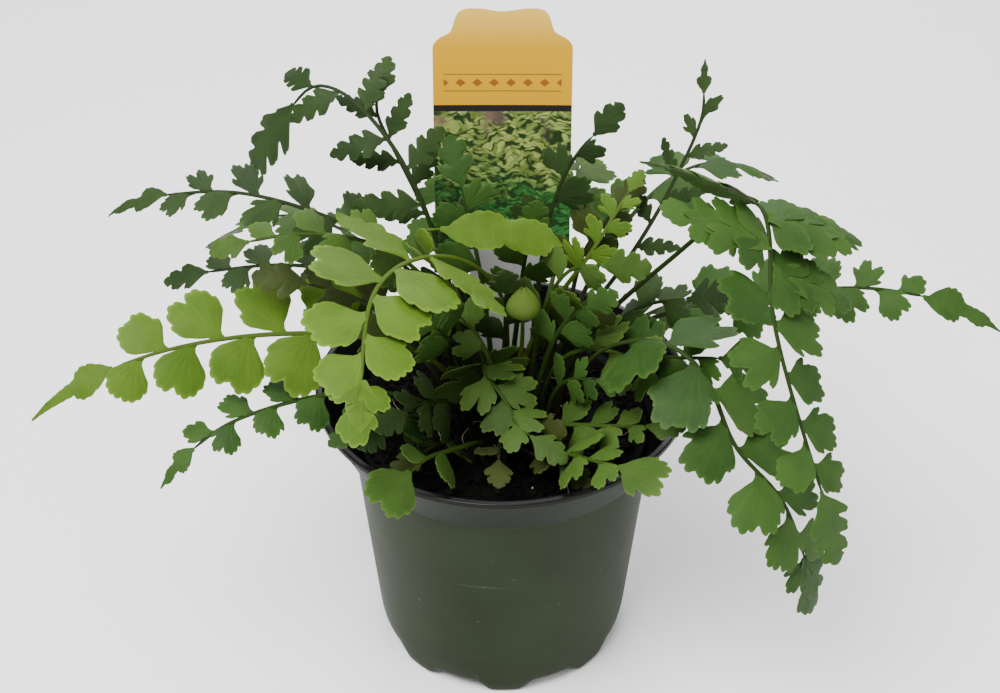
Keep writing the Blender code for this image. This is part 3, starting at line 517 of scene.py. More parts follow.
def blade_shell(mid: Array, thick: Array, count: Array, out: Array, edge: Array,
                shade: float, finish: int = 0) -> Shell:
    """Give a sheet its thickness and close it round the rim.

    The two faces are the middle surface plus and minus half the thickness along its
    normal, which is the cross product of its row and column directions.

    Args:
        mid: middle surface as rows x columns x 3.
        thick: thickness on the same grid.
        count: vein count on the grid, the first part of the UV map.
        out: way out along the blade, the second part.
        edge: 1 on the margin.
        shade: one value for the blade's own tone.
        finish: number of the material.

    Returns:
        The closed shell.
    """
    rows, columns = mid.shape[:2]
    normal = unit(np.cross(np.gradient(mid, axis=0), np.gradient(mid, axis=1)))
    offset = 0.5 * thick[..., None] * normal
    points = np.concatenate([(mid + offset).reshape(-1, 3), (mid - offset).reshape(-1, 3)])
    top = grid_quads(rows, columns)
    total = rows * columns
    number = np.arange(total).reshape(rows, columns)
    loop = np.concatenate([number[:-1, 0], number[-1, :-1], number[:0:-1, -1], number[0, :0:-1]])
    ahead = np.roll(loop, -1)
    rim = np.stack([ahead, loop, loop + total, ahead + total], axis=1)
    uv = np.tile(np.stack([count.ravel(), out.ravel()], axis=1), (2, 1))
    values = {
        "edge": np.tile(edge.ravel(), 2),
        "under": np.repeat([0.0, 1.0], total),
        "shade": np.full(2 * total, shade),
    }
    return Shell(points, np.concatenate([top, top[:, ::-1] + total, rim]), uv=uv, values=values,
                 finish=finish)


def ring_shell(rings: Array, along: Array, finish: int = 0) -> Shell:
    """Close a row of rings with a point in the middle of each end.

    Args:
        rings: rows x sides x 3, all turned the same way.
        along: one value a ring, the second part of the UV map.
        finish: number of the material.

    Returns:
        The closed shell, whose UV map folds round it from 0 to 1 and back.
    """
    rows, sides = rings.shape[:2]
    ends = np.stack([rings[0].mean(axis=0), rings[-1].mean(axis=0)])
    points = np.concatenate([rings.reshape(-1, 3), ends])
    quads = grid_quads(rows, sides, closed=True)[:, ::-1]
    j = np.arange(sides)
    k = (j + 1) % sides
    first = np.stack([np.full(sides, rows * sides), k, j], axis=1)
    base = (rows - 1) * sides
    last = np.stack([np.full(sides, rows * sides + 1), base + j, base + k], axis=1)
    around = np.abs(2.0 * ((np.arange(sides) / sides + 0.25) % 1.0) - 1.0)
    uv = np.stack(np.broadcast_arrays(around[None, :], along[:, None]), axis=-1).reshape(-1, 2)
    uv = np.concatenate([uv, [[0.5, along[0]], [0.5, along[-1]]]])
    return Shell(points, quads, np.concatenate([first, last]), uv, {}, finish)


def outward(shell: Shell) -> Shell:
    """Return the shell with its faces turned out.

    Six times a closed shell's volume is the sum over its triangles of one corner dotted with
    the cross product of the other two. It is below zero where the faces look in.

    Args:
        shell: the closed shell, turned in place.

    Returns:
        The same shell.
    """
    a, b, c = (shell.points[shell.fans()[:, i]] - shell.points.mean(axis=0) for i in range(3))
    if np.sum(a * np.cross(b, c)) < 0.0:
        shell.quads, shell.triangles = shell.quads[:, ::-1], shell.triangles[:, ::-1]
    return shell


class Piece:
    """One object in the making, gathered from closed shells."""

    VALUES = ("shade", "under", "edge", "inside")

    def __init__(self, name: str, finishes: list[bpy.types.Material], scale: float = MM) -> None:
        """Start an empty piece.

        Args:
            name: the object's name.
            finishes: its materials, in the order that the shells number them.
            scale: metres in one unit of the shells' points.
        """
        self.name = name
        self.finishes = finishes
        self.scale = scale
        self.shells: list[Shell] = []

    def add(self, shell: Shell) -> None:
        """Add one closed shell, its faces turned out."""
        self.shells.append(outward(shell))

    def extend(self, shells: list[Shell]) -> None:
        """Add several closed shells, their faces turned out."""
        self.shells.extend(outward(shell) for shell in shells)

    def mesh(self) -> bpy.types.Mesh:
        """Join the shells into one mesh, written as whole arrays.

        Returns:
            The mesh, without materials.
        """
        starts = np.cumsum([0] + [len(s.points) for s in self.shells])
        quads = np.concatenate([s.quads + n for s, n in zip(self.shells, starts)])
        triangles = np.concatenate([s.triangles + n for s, n in zip(self.shells, starts)])
        points = np.concatenate([s.points for s in self.shells]) * self.scale
        corners = np.concatenate([quads.ravel(), triangles.ravel()]).astype(np.int32)
        faces = len(quads) + len(triangles)
        first = np.concatenate([4 * np.arange(len(quads)),
                                4 * len(quads) + 3 * np.arange(len(triangles))])
        mesh = bpy.data.meshes.new(self.name)
        mesh.vertices.add(len(points))
        mesh.vertices.foreach_set("co", points.astype(np.float32).ravel())
        mesh.loops.add(len(corners))
        mesh.loops.foreach_set("vertex_index", corners)
        mesh.polygons.add(faces)
        mesh.polygons.foreach_set("loop_start", first.astype(np.int32))
        mesh.polygons.foreach_set("use_smooth", np.ones(faces, bool))
        mesh.polygons.foreach_set("material_index", self.finish_numbers())
        self.write_values(mesh, corners)
        mesh.update(calc_edges=True)
        mesh.validate()
        mesh.set_sharp_from_angle(angle=math.radians(50.0))
        return mesh

    def finish_numbers(self) -> Array:
        """Return the material number of each face, quads first.

        Returns:
            One number a face, all the quads before all the triangles.
        """
        quads = [np.full(len(s.quads), s.finish) for s in self.shells]
        triangles = [np.full(len(s.triangles), s.finish) for s in self.shells]
        return np.concatenate(quads + triangles).astype(np.int32)

    def write_values(self, mesh: bpy.types.Mesh, corners: Array) -> None:
        """Write the UV map and the shells' values to the mesh.

        Args:
            mesh: the mesh.
            corners: the point number at each face corner.
        """
        uv = np.concatenate([np.zeros((len(s.points), 2)) if s.uv is None else s.uv
                             for s in self.shells])
        layer = mesh.uv_layers.new(name="UVMap")
        layer.uv.foreach_set("vector", uv[corners].astype(np.float32).ravel())
        for name in self.VALUES:
            rows = [s.values.get(name, np.zeros(len(s.points))) for s in self.shells]
            kept = mesh.attributes.new(name, "FLOAT", "POINT")
            kept.data.foreach_set("value", np.concatenate(rows).astype(np.float32))

    def build(self, node: str, slot: str) -> bpy.types.Object:
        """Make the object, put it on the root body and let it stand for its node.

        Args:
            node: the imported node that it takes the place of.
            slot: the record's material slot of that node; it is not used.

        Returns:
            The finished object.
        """
        mesh = self.mesh()
        for finish in self.finishes:
            mesh.materials.append(finish)
        made = bpy.data.objects.new(self.name, mesh)
        bpy.context.scene.collection.objects.link(made)
        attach(made, "root")
        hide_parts(node)
        LOG.info("%s: %d faces", self.name, len(mesh.polygons))
        return made


# Fern

class Tone(Enum):
    """The plant's leaf tones: the record's slots by name."""

    BRIGHT = "bright"
    FRESH = "fresh"
    MID = "mid"
    DARK = "dark"
    OLIVE = "olive"


LEAVES = {
    Tone.BRIGHT: LeafFinish("leaf_bright", (0.045, 0.092, 0.006), (0.074, 0.138, 0.012),
                            (0.13, 0.21, 0.020), (0.072, 0.118, 0.018)),
    Tone.FRESH: LeafFinish("leaf_fresh", (0.022, 0.050, 0.006), (0.044, 0.088, 0.012),
                           (0.070, 0.125, 0.018), (0.040, 0.074, 0.014)),
    Tone.MID: LeafFinish("leaf_mid", (0.0155, 0.043, 0.006), (0.035, 0.080, 0.012),
                         (0.045, 0.090, 0.014), (0.028, 0.055, 0.011)),
    Tone.DARK: LeafFinish("leaf_dark", (0.0105, 0.025, 0.005), (0.023, 0.046, 0.010),
                          (0.032, 0.056, 0.012), (0.021, 0.039, 0.010)),
    Tone.OLIVE: LeafFinish("leaf_olive", (0.014, 0.021, 0.004), (0.033, 0.046, 0.008),
                           (0.050, 0.057, 0.012), (0.028, 0.035, 0.009)),
}
STEMS = {
    Tone.BRIGHT: StemFinish("stem_bright", (0.024, 0.032, 0.006), (0.042, 0.076, 0.006)),
    Tone.FRESH: StemFinish("stem_fresh", (0.016, 0.018, 0.005), (0.021, 0.045, 0.004)),
    Tone.MID: StemFinish("stem_mid", (0.012, 0.013, 0.004), (0.013, 0.030, 0.003)),
    Tone.DARK: StemFinish("stem_dark", (0.010, 0.010, 0.004), (0.010, 0.020, 0.003)),
    Tone.OLIVE: StemFinish("stem_olive", (0.012, 0.010, 0.005), (0.014, 0.018, 0.006)),
}
SCALES = ScaleFinish("stem_scales", (0.034, 0.017, 0.008))


@dataclass(frozen=True)
class Frond:
    """One frond's numbers, in millimetres, degrees and shares of its length.

    The route starts with the stem's place on the mix as (x, y) and goes on as (x, y, z).
    The face is the way its upper side looks. Leaflets start where the bare share of the
    stem ends; the first compound pairs are long and lobed, the rest are fans.
    """

    name: str
    tone: str
    route: list
    face: tuple
    bare: float
    pairs: int
    size: float
    tip: float
    compound: int = 0
    long: float = 0.0
    side: float = 1.0
    lift: float = 6.0
    twist: float = 12.0
    stem: float = 2.2
    cut: float = 0.17
    tip_width: float = 0.33
    long_width: float = 0.34
    taper: float = 0.42
    wide: float = 1.0
    droop: float = 0.16
    angle: float = 67.0

    def line(self) -> Array:
        """Return the whole route, with the stem's straight foot set in the mix.

        Returns:
            Guide points, each (x, y, z).
        """
        x, y = self.route[0]
        foot = [(x, y, STEM_FOOT + rise) for rise in (0.0, 5.0, 10.0, 15.0)]
        return np.array(foot + self.route[1:], float)


FRONDS = [
    Frond("frond_left_bright", "bright",
          [(-12, -1), (-15, -2, 100), (-30, -4, 113), (-45, -7, 118), (-73, -13, 122),
           (-97, -21, 122), (-110, -26, 119)],
          (-0.1, -0.7, 0.7), 0.46, 4, 22.0, 27.0, side=-1.0, cut=0.09, taper=0.50, tip_width=0.17),
    Frond("frond_front_bright", "bright",
          [(1, 9), (2, 8, 108), (0, 6, 127), (-13, -5, 145), (-28, -22, 153), (-35, -38, 153),
           (-36, -51, 148), (-36, -62, 142)],
          (0.0, -0.6, 0.8), 0.60, 4, 23.0, 18.0, compound=1, long=30.0, cut=0.09, tip_width=0.42,
          long_width=0.30, angle=96.0, twist=8.0),
    Frond("frond_upper_left", "dark",
          [(-10, 13), (-14, 15, 112), (-22, 21, 142), (-31, 29, 159), (-43, 40, 169),
           (-51, 43, 173), (-58, 46, 172), (-63, 45, 166)],
          (-0.2, -0.5, 0.8), 0.34, 4, 19.0, 27.0, compound=4, long=20.0, long_width=0.26,
          lift=0.0, taper=0.10, droop=0.34, angle=80.0, twist=4.0, tip_width=0.34),
    Frond("frond_upper_left_back", "dark",
          [(-5, 18), (-12, 23, 112), (-21, 28, 132), (-28, 35, 145), (-35, 42, 156), (-39, 46, 163),
           (-38, 50, 166)],
          (-0.1, -0.6, 0.8), 0.52, 3, 17.0, 15.0, compound=3, long=17.0, long_width=0.24,
          taper=0.15, angle=70.0, twist=4.0, side=-1.0, tip_width=0.26),
    Frond("frond_left_dark", "dark",
          [(-15, 11), (-18, 11, 114), (-34, 16, 134), (-52, 18, 143), (-70, 19, 149),
           (-84, 21, 150), (-100, 23, 147)],
          (-0.1, -0.3, 1.0), 0.54, 4, 17.0, 21.0, side=-1.0, wide=0.75, tip_width=0.22),
    Frond("frond_left_middle", "dark",
          [(-19, 4), (-24, 10, 104), (-38, 17, 119), (-56, 20, 124), (-72, 21, 124), (-90, 21, 121)],
          (0.0, -0.3, 1.0), 0.48, 4, 14.0, 15.0),
    Frond("frond_left_fresh", "fresh",
          [(-7, 4), (-12, 2, 115), (-26, -1, 140), (-42, -3, 149), (-58, -6, 152), (-71, -8, 150)],
          (-0.1, -0.4, 1.0), 0.60, 3, 13.0, 12.0),
    Frond("frond_left_olive", "olive",
          [(-13, -7), (-18, -7, 100), (-30, -6, 120), (-44, -5, 131), (-56, -7, 135)],
          (-0.2, -0.4, 1.0), 0.60, 2, 15.0, 16.0),
    Frond("frond_low_left", "mid",
          [(-18, -7), (-24, -9, 95), (-38, -14, 102), (-52, -18, 104), (-66, -24, 104),
           (-80, -31, 103), (-88, -36, 98)],
          (-0.1, -0.5, 1.0), 0.40, 4, 13.0, 15.0, tip_width=0.24),
    Frond("frond_rim_left", "mid",
          [(-15, -14), (-20, -19, 96), (-30, -27, 103), (-40, -35, 104)],
          (-0.3, -0.5, 1.0), 0.60, 1, 11.0, 11.0, cut=0.10),
    Frond("frond_front_dark", "dark",
          [(-9, -12), (-13, -16, 98), (-20, -23, 106), (-27, -32, 108)],
          (-0.2, -0.6, 0.8), 0.60, 2, 13.0, 13.0),
    Frond("frond_rim_front", "fresh",
          [(-6, -20), (-8, -26, 92), (-14, -38, 99), (-21, -49, 106), (-25, -56, 106)],
          (-0.1, -0.7, 0.8), 0.66, 1, 11.0, 16.0, cut=0.10, tip_width=0.42),
    Frond("frond_low_front_left", "olive",
          [(-13, -20), (-15, -24, 91), (-19, -29, 94), (-23, -33, 94)],
          (-0.2, -0.5, 1.0), 0.55, 1, 11.0, 12.0),
    Frond("frond_young_centre", "fresh",
          [(-4, -5), (-6, -6, 99), (-5, -8, 109), (-6, -18, 111), (1, -22, 106), (4, -31, 102),
           (8, -34, 101)],
          (0.0, -0.6, 0.9), 0.28, 5, 13.0, 13.0, cut=0.32, twist=6.0),
    Frond("frond_low_front", "olive",
          [(1, -21), (0, -24, 92), (-1, -32, 96), (-1, -40, 97)],
          (0.0, -0.5, 1.0), 0.50, 1, 12.0, 12.0),
    Frond("frond_young_right", "fresh",
          [(8, -14), (10, -17, 92), (18, -21, 95), (30, -27, 99), (41, -32, 103)],
          (0.0, -0.5, 1.0), 0.50, 3, 10.0, 12.0),
    Frond("frond_rim_right", "fresh",
          [(13, -20), (14, -28, 92), (18, -38, 98), (25, -46, 102), (32, -51, 104)],
          (0.2, -0.6, 0.9), 0.60, 2, 13.0, 16.0, tip_width=0.40),
    Frond("frond_fan_right", "mid",
          [(13, -9), (15, -11, 100), (20, -15, 108), (27, -21, 111)],
          (0.1, -0.6, 0.9), 0.64, 2, 10.0, 12.0),
    Frond("frond_right_inner", "fresh",
          [(12, 0), (15, -1, 103), (24, -5, 112), (36, -13, 115), (45, -24, 114)],
          (0.2, -0.6, 0.9), 0.62, 2, 15.0, 19.0),
    Frond("frond_right_low", "mid",
          [(19, -8), (24, -10, 110), (32, -14, 120), (47, -26, 130), (59, -36, 122), (63, -46, 105),
           (78, -54, 98), (86, -55, 74)],
          (0.4, -0.6, 0.6), 0.39, 5, 22.0, 23.0, side=-1.0, tip_width=0.38),
    Frond("frond_right_arch", "mid",
          [(17, 2), (23, 4, 106), (35, 3, 123), (48, -1, 139), (59, -12, 160), (68, -22, 175),
           (70, -36, 169), (68, -50, 159), (71, -62, 148), (76, -71, 134), (82, -77, 118)],
          (0.5, -0.6, 0.6), 0.58, 6, 19.0, 22.0, compound=2, long=36.0, angle=104.0, side=-1.0),
    Frond("frond_far_right", "mid",
          [(19, 7), (25, 7, 98), (38, 7, 111), (58, 7, 119), (88, 7, 124), (110, 6, 126),
           (125, 5, 123)],
          (0.0, -0.5, 0.9), 0.44, 5, 15.0, 27.0, side=-1.0, tip_width=0.22),
    Frond("frond_upright", "dark",
          [(14, 13), (19, 15, 101), (34, 21, 117), (47, 29, 136), (56, 37, 153), (61, 43, 163),
           (61, 48, 168)],
          (-0.6, -0.4, 0.6), 0.46, 4, 12.0, 12.0, compound=3, long=17.0, long_width=0.20, taper=0.30,
          wide=0.6, cut=0.45, twist=4.0, tip_width=0.24),
    Frond("frond_pale_small", "bright",
          [(5, 14), (12, 14, 110), (26, 16, 129), (34, 23, 141), (38, 27, 146)],
          (0.0, -0.6, 0.8), 0.66, 3, 10.0, 8.0, wide=0.8, cut=0.40),
    Frond("frond_by_label_right", "dark",
          [(9, 20), (11, 23, 115), (14, 27, 140), (21, 32, 155), (27, 34, 161)],
          (0.1, -0.7, 0.7), 0.64, 2, 13.0, 13.0),
    Frond("frond_by_label_left", "mid",
          [(-3, 13), (-5, 14, 115), (-9, 17, 138), (-12, 22, 150)],
          (0.0, -0.7, 0.7), 0.66, 2, 15.0, 16.0),
    Frond("frond_centre_fans", "fresh",
          [(8, 5), (11, 6, 110), (14, -2, 130), (20, -4, 140), (28, -8, 142)],
          (0.0, -0.6, 0.8), 0.54, 2, 16.0, 15.0, cut=0.10, angle=72.0),
    Frond("frond_centre_right", "mid",
          [(9, -4), (13, -5, 109), (18, -7, 123), (24, -12, 130)],
          (0.0, -0.6, 0.8), 0.66, 2, 12.0, 13.0, twist=6.0),
    Frond("frond_centre_left", "mid",
          [(-9, -4), (-12, -6, 106), (-17, -9, 120), (-19, -23, 131)],
          (0.0, -0.6, 0.8), 0.64, 2, 13.0, 14.0, twist=6.0),
    Frond("frond_centre_dark", "dark",
          [(-2, 2), (1, 2, 104), (1, 1, 123), (1, -4, 130)],
          (0.0, -0.6, 0.8), 0.62, 2, 12.0, 14.0),
    Frond("frond_centre_bright", "bright",
          [(-4, 8), (-9, 8, 114), (-20, 5, 134), (-26, 4, 142), (-25, 3, 147), (-18, 2, 148)],
          (-0.8, -0.6, 0.2), 0.70, 1, 12.0, 34.0, angle=80.0, cut=0.09, tip_width=0.20),
    Frond("frond_centre_lace", "fresh",
          [(0, -10), (-2, -14, 110), (-9, -5, 121), (-19, -5, 124), (-25, -7, 126)],
          (0.0, -0.6, 0.8), 0.62, 2, 11.0, 12.0, cut=0.36),
    Frond("frond_behind_bud", "mid",
          [(3, 20), (5, 16, 110), (6, 13, 127), (8, 10, 140)],
          (0.0, -0.7, 0.7), 0.64, 2, 13.0, 14.0, twist=6.0),
    Frond("frond_olive_right", "olive",
          [(19, 14), (20, 19, 102), (23, 26, 120), (27, 24, 132), (34, 29, 138)],
          (0.0, -0.6, 0.8), 0.66, 2, 14.0, 14.0),
    Frond("frond_mid_right", "dark",
          [(24, 3), (27, 4, 104), (35, 4, 115), (42, 6, 120), (54, -1, 126)],
          (0.1, -0.5, 0.9), 0.46, 2, 15.0, 17.0),
    Frond("frond_low_front_right", "olive",
          [(7, -21), (8, -26, 90), (11, -31, 94), (16, -37, 94)],
          (0.0, -0.5, 1.0), 0.52, 1, 12.0, 13.0),
    Frond("frond_front_right", "mid",
          [(24, -3), (30, -8, 101), (38, -12, 112), (46, -11, 112), (61, -25, 122)],
          (0.1, -0.6, 0.9), 0.58, 2, 16.0, 18.0),
    Frond("frond_low_left_dark", "dark",
          [(-22, -13), (-24, -16, 92), (-28, -19, 94), (-34, -29, 98)],
          (-0.2, -0.5, 1.0), 0.56, 1, 12.0, 13.0),
    Frond("frond_low_centre", "olive",
          [(3, -15), (4, -16, 92), (4, -20, 99), (10, -26, 100)],
          (0.0, -0.6, 0.9), 0.50, 2, 10.0, 11.0, cut=0.32),
    Frond("frond_centre_olive", "olive",
          [(13, 6), (15, 6, 104), (18, 3, 115), (24, -2, 119)],
          (0.0, -0.6, 0.8), 0.58, 2, 10.0, 12.0, twist=6.0, angle=78.0),
    Frond("frond_unrolling", "bright",
          [(3, -2), (5, -1, 98), (6, -1, 110), (6, -2, 117), (6, -4, 122)],
          (0.0, -1.0, 0.2), 0.80, 1, 8.0, 11.0, angle=55.0, twist=0.0, wide=0.6, tip_width=0.42),
    Frond("frond_back_right", "mid",
          [(17, 21), (24, 30, 105), (38, 45, 124), (54, 62, 132), (70, 80, 128), (84, 96, 116)],
          (0.3, 0.4, 0.9), 0.44, 3, 19.0, 22.0),
    Frond("frond_back_middle_right", "fresh",
          [(9, 27), (14, 34, 98), (17, 46, 106), (22, 62, 118), (26, 82, 122), (26, 104, 114)],
          (0.1, 0.4, 0.9), 0.48, 3, 18.0, 20.0),
    Frond("frond_back_middle_left", "mid",
          [(-7, 27), (-13, 34, 98), (-17, 46, 106), (-20, 62, 117), (-16, 84, 120), (-10, 102, 112)],
          (-0.1, 0.4, 0.9), 0.48, 3, 17.0, 18.0),
    Frond("frond_back_left", "mid",
          [(-16, 21), (-24, 30, 102), (-40, 42, 116), (-58, 55, 120), (-76, 68, 114), (-90, 78, 102)],
          (-0.3, 0.4, 0.9), 0.44, 3, 18.0, 20.0),
    Frond("frond_back_low_right", "dark",
          [(24, 14), (32, 18, 96), (46, 25, 104), (60, 32, 104), (74, 39, 98)],
          (0.3, 0.2, 1.0), 0.50, 3, 14.0, 16.0),
]


# Leaflet lengths against the solid's, nearer to the photo or clear of a neighbour
GROWTH = {"frond_young_centre": 1.15, "frond_young_right": 1.12, "frond_centre_fans": 0.90,
          "frond_centre_lace": 0.95}


class Route:
    """A smooth line through a frond's points, with a frame that turns as little as it can."""

    def __init__(self, points: Array, face: tuple) -> None:
        """Work out the line, its lengths and its frame.

        Args:
            points: the guide points, in millimetres.
            face: the way the frond's upper side looks.
        """
        self.places = self.spline(points, 16)
        steps = np.linalg.norm(np.diff(self.places, axis=0), axis=1)
        self.lengths = np.concatenate([[0.0], np.cumsum(steps)])
        self.total = float(self.lengths[-1])
        padded = np.concatenate([self.places[:1], self.places, self.places[-1:]])
        self.tangents = unit(padded[2:] - padded[:-2])
        self.normals = self.transported(np.array(face, float))

    @staticmethod
    def spline(points: Array, steps: int) -> Array:
        """Return a uniform cubic B-spline: each span is four points blended by cubic weights.

        Args:
            points: the guide points, with the line's two ends first and last.
            steps: points on the line for each span.

        Returns:
            The line's points.
        """
        padded = np.concatenate([[2 * points[0] - points[1]], points, [2 * points[-1] - points[-2]]])
        t = np.arange(steps) / steps
        weights = np.stack([(1 - t) ** 3, 3 * t ** 3 - 6 * t ** 2 + 4,
                            3 * t + 3 * t ** 2 - 3 * t ** 3 + 1, t ** 3], axis=1) / 6.0
        spans = np.stack([padded[i:len(padded) - 3 + i] for i in range(4)], axis=1)
        line = np.einsum("tk,skd->std", weights, spans).reshape(-1, 3)
        return np.concatenate([line, points[-1:]])

    def transported(self, face: Array) -> Array:
        """Turn the face direction along the line both ways from three quarters of its length.

        Args:
            face: the way the upper side looks.

        Returns:
            One unit vector for each point of the line, square to it.
        """
        count = len(self.places)
        start = int(0.75 * count)
        normals = np.zeros((count, 3))
        normals[start] = self.square(face, self.tangents[start])
        for i in range(start + 1, count):
            normals[i] = self.square(normals[i - 1], self.tangents[i])
        for i in range(start - 1, -1, -1):
            normals[i] = self.square(normals[i + 1], self.tangents[i])
        return normals

    @staticmethod
    def square(vectors: Array, axes: Array) -> Array:
        """Return the part of each vector at a right angle to its axis, at length one."""
        return unit(vectors - axes * np.sum(vectors * axes, axis=-1, keepdims=True))

    def at(self, rows: Array, s: Array | float) -> Array:
        """Return one of the line's rows of vectors read at s millimetres along it."""
        return np.stack([np.interp(s, self.lengths, rows[:, k]) for k in range(3)], axis=-1)

    def frame(self, s: Array | float) -> tuple[Array, Array, Array, Array]:
        """Return the place, tangent, left and normal at s millimetres along the line.

        Args:
            s: one length or an array of them.

        Returns:
            The four rows of vectors.
        """
        tangent = unit(self.at(self.tangents, s))
        normal = self.square(self.at(self.normals, s), tangent)
        return self.at(self.places, s), tangent, np.cross(normal, tangent), normal


@dataclass(frozen=True)
class Setting:
    """Where a leaflet sits: its place, the ways out and across, and the way it faces."""

    place: Array
    axis: Array
    across: Array
    face: Array


@dataclass(frozen=True)
class Leaflet:
    """One leaflet's size and set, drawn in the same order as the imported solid's."""

    side: float
    s: float
    length: float
    lobed: bool
    lobes: int
    turn: float
    lift: float
    twist: float

    def setting(self, route: Route) -> Setting:
        """Return where it sits on the stem: out at an angle, lifted, with its fore edge raised.

        Args:
            route: the stem's line.

        Returns:
            The leaflet's setting.
        """
        place, tangent, left, up = route.frame(self.s)
        cos, sin = math.cos(self.turn), math.sin(self.turn)
        out = tangent * cos + left * (self.side * sin)
        forward = tangent * sin - left * (self.side * cos)
        axis = unit(out * math.cos(self.lift) + up * math.sin(self.lift))
        across = unit(forward * math.cos(self.twist) + up * math.sin(self.twist))
        return Setting(place, axis, across, unit(np.cross(axis, across) * -self.side))


@dataclass
class FrondPiece:
    """One frond in full: a grooved stem, its leaflets, the end leaflet and brown scales.

    Growth is the length of its fans as a share of the solid's.
    """

    spec: Frond
    fan_spread: float = math.radians(50.0)
    fan_edge_loss: float = 0.36
    cup: float = 0.22
    thickness: float = 0.42
    pinnule_width: float = 0.90
    pinnule_tilt: float = math.radians(9.0)
    stem_height: float = 0.72
    stem_sides: int = 12
    scale_count: int = 12
    growth: float = 1.0

    def __post_init__(self) -> None:
        """Work out the route and start the frond's own seeded draws."""
        self.route = Route(self.spec.line(), self.spec.face)
        self.chance = np.random.default_rng(sum(map(ord, self.spec.name)))

    def build(self) -> bpy.types.Object:
        """Make the frond's object.

        Returns:
            The finished object.
        """
        tone = Tone(self.spec.tone)
        piece = Piece(self.spec.name + "_fine", [MATERIALS[LEAVES[tone].name],
                                                 MATERIALS[STEMS[tone].name],
                                                 MATERIALS[SCALES.name]])
        piece.add(self.stem())
        for leaflet in self.leaflets():
            piece.extend(self.leaflet_shells(leaflet))
        piece.extend(self.tip_shells())
        piece.extend(self.scales())
        return piece.build(self.spec.name, "leaf_" + tone.value)

    def leaflets(self) -> list[Leaflet]:
        """Return every leaflet but the end one, with the solid's own draws in its own order.

        Returns:
            The leaflets from the stem's foot up, on alternate sides.
        """
        spec = self.spec
        draw = random.Random(len(spec.name) + 7 * spec.pairs)
        first = spec.bare * self.route.total
        span = self.route.total - first - 2.0
        found = []
        for k in range(2 * spec.pairs):
            share = (k + 0.35) / (2 * spec.pairs)
            length = spec.size * (1.0 - spec.taper * share ** 1.2) * draw.uniform(0.93, 1.07)
            length *= self.growth
            lobes = 4 if length > 9.0 else 3
            lobed = k < 2 * spec.compound
            if lobed:
                length = spec.long * (1.0 - spec.taper * share) * draw.uniform(0.93, 1.07)
            turn = spec.angle + (50.0 - spec.angle) * share + draw.uniform(-5.0, 5.0)
            lift = spec.lift + draw.uniform(-5.0, 5.0)
            twist = spec.twist + draw.uniform(-4.0, 4.0)
            found.append(Leaflet(
                spec.side if k % 2 == 0 else -spec.side,
                first + span * share * (1.18 - 0.18 * share), length, lobed, lobes,
                math.radians(turn), math.radians(lift), math.radians(twist)))
        return found

    def stem_half_width(self, s: Array) -> Array:
        """Return half the stem's width, which narrows along its length."""
        return np.maximum(0.5 * self.spec.stem * (1.0 - 0.55 * s / self.route.total), 0.5)

    def stem(self) -> Shell:
        """Return the stem: an oval ring carried along the route, with a groove along its top.

        Returns:
            The closed shell.
        """
        count = max(24, int(self.route.total / 2.6))
        s = np.linspace(0.0, self.route.total, count)
        place, _, left, up = self.route.frame(s)
        angle = 2.0 * np.pi * np.arange(self.stem_sides) / self.stem_sides
        lean = np.angle(np.exp(1j * (angle - np.pi / 2.0)))
        groove = 1.0 - 0.30 * np.exp(-(lean / 0.42) ** 2)
        share = s / self.route.total
        wide = self.stem_half_width(s) * (1.0 + 0.10 * np.sin(9.0 * share + 1.3) * (1.0 - share))
        wide[-1] *= 0.4
        high = self.stem_height * (1.0 - 0.45 * share)
        x = wide[:, None] * (np.cos(angle) * groove)[None, :]
        y = high[:, None] * (np.sin(angle) * groove)[None, :]
        rings = place[:, None] + left[:, None] * x[..., None] + up[:, None] * y[..., None]
        return ring_shell(rings, share, finish=1)

    def lay(self, setting: Setting, u: Array, w: Array, rise: Array, length: float,
            droop: float) -> Array:
        """Lay a flat grid on its setting.

        A point is place + axis u + across w - face (droop u^2 + cup w^2) / length + face rise.

        Args:
            setting: where the leaflet sits.
            u: places out along it.
            w: places across it.
            rise: height over the bent sheet.
            length: the leaflet's length.
            droop: how far its end hangs, as a share of the length.

        Returns:
            The laid grid, rows x columns x 3.
        """
        drop = (droop * u * u + self.cup * w * w) / length - rise
        return (setting.place + setting.axis * u[..., None] + setting.across * w[..., None]
                - setting.face * drop[..., None])

    def leaflet_shells(self, leaflet: Leaflet) -> list[Shell]:
        """Return one leaflet's closed shells: one for a fan or a lobed blade, several for a cut one.

        Args:
            leaflet: the leaflet's size and set.

        Returns:
            The closed shells.
        """
        spec = self.spec
        setting = leaflet.setting(self.route)
        if leaflet.lobed and spec.long_width >= 0.32:
            return self.pinnate(setting, leaflet.length, spec.long_width, spec.droop, 3)
        if leaflet.lobed:
            cut = 0.26 if spec.long_width > 0.28 else 0.46
            grid = self.lobed_grid(leaflet.length, spec.long_width, 3, cut)
            return [self.close(setting, grid, leaflet.length, spec.droop, leaflet.side > 0.0)]
        slant = math.cos(leaflet.turn) / max(math.sin(leaflet.turn), 0.5)
        grid = self.fan_grid(leaflet.length, leaflet.lobes, spec.wide, spec.cut, 2.2, slant)
        return [self.close(setting, grid, leaflet.length, spec.droop, leaflet.side > 0.0)]

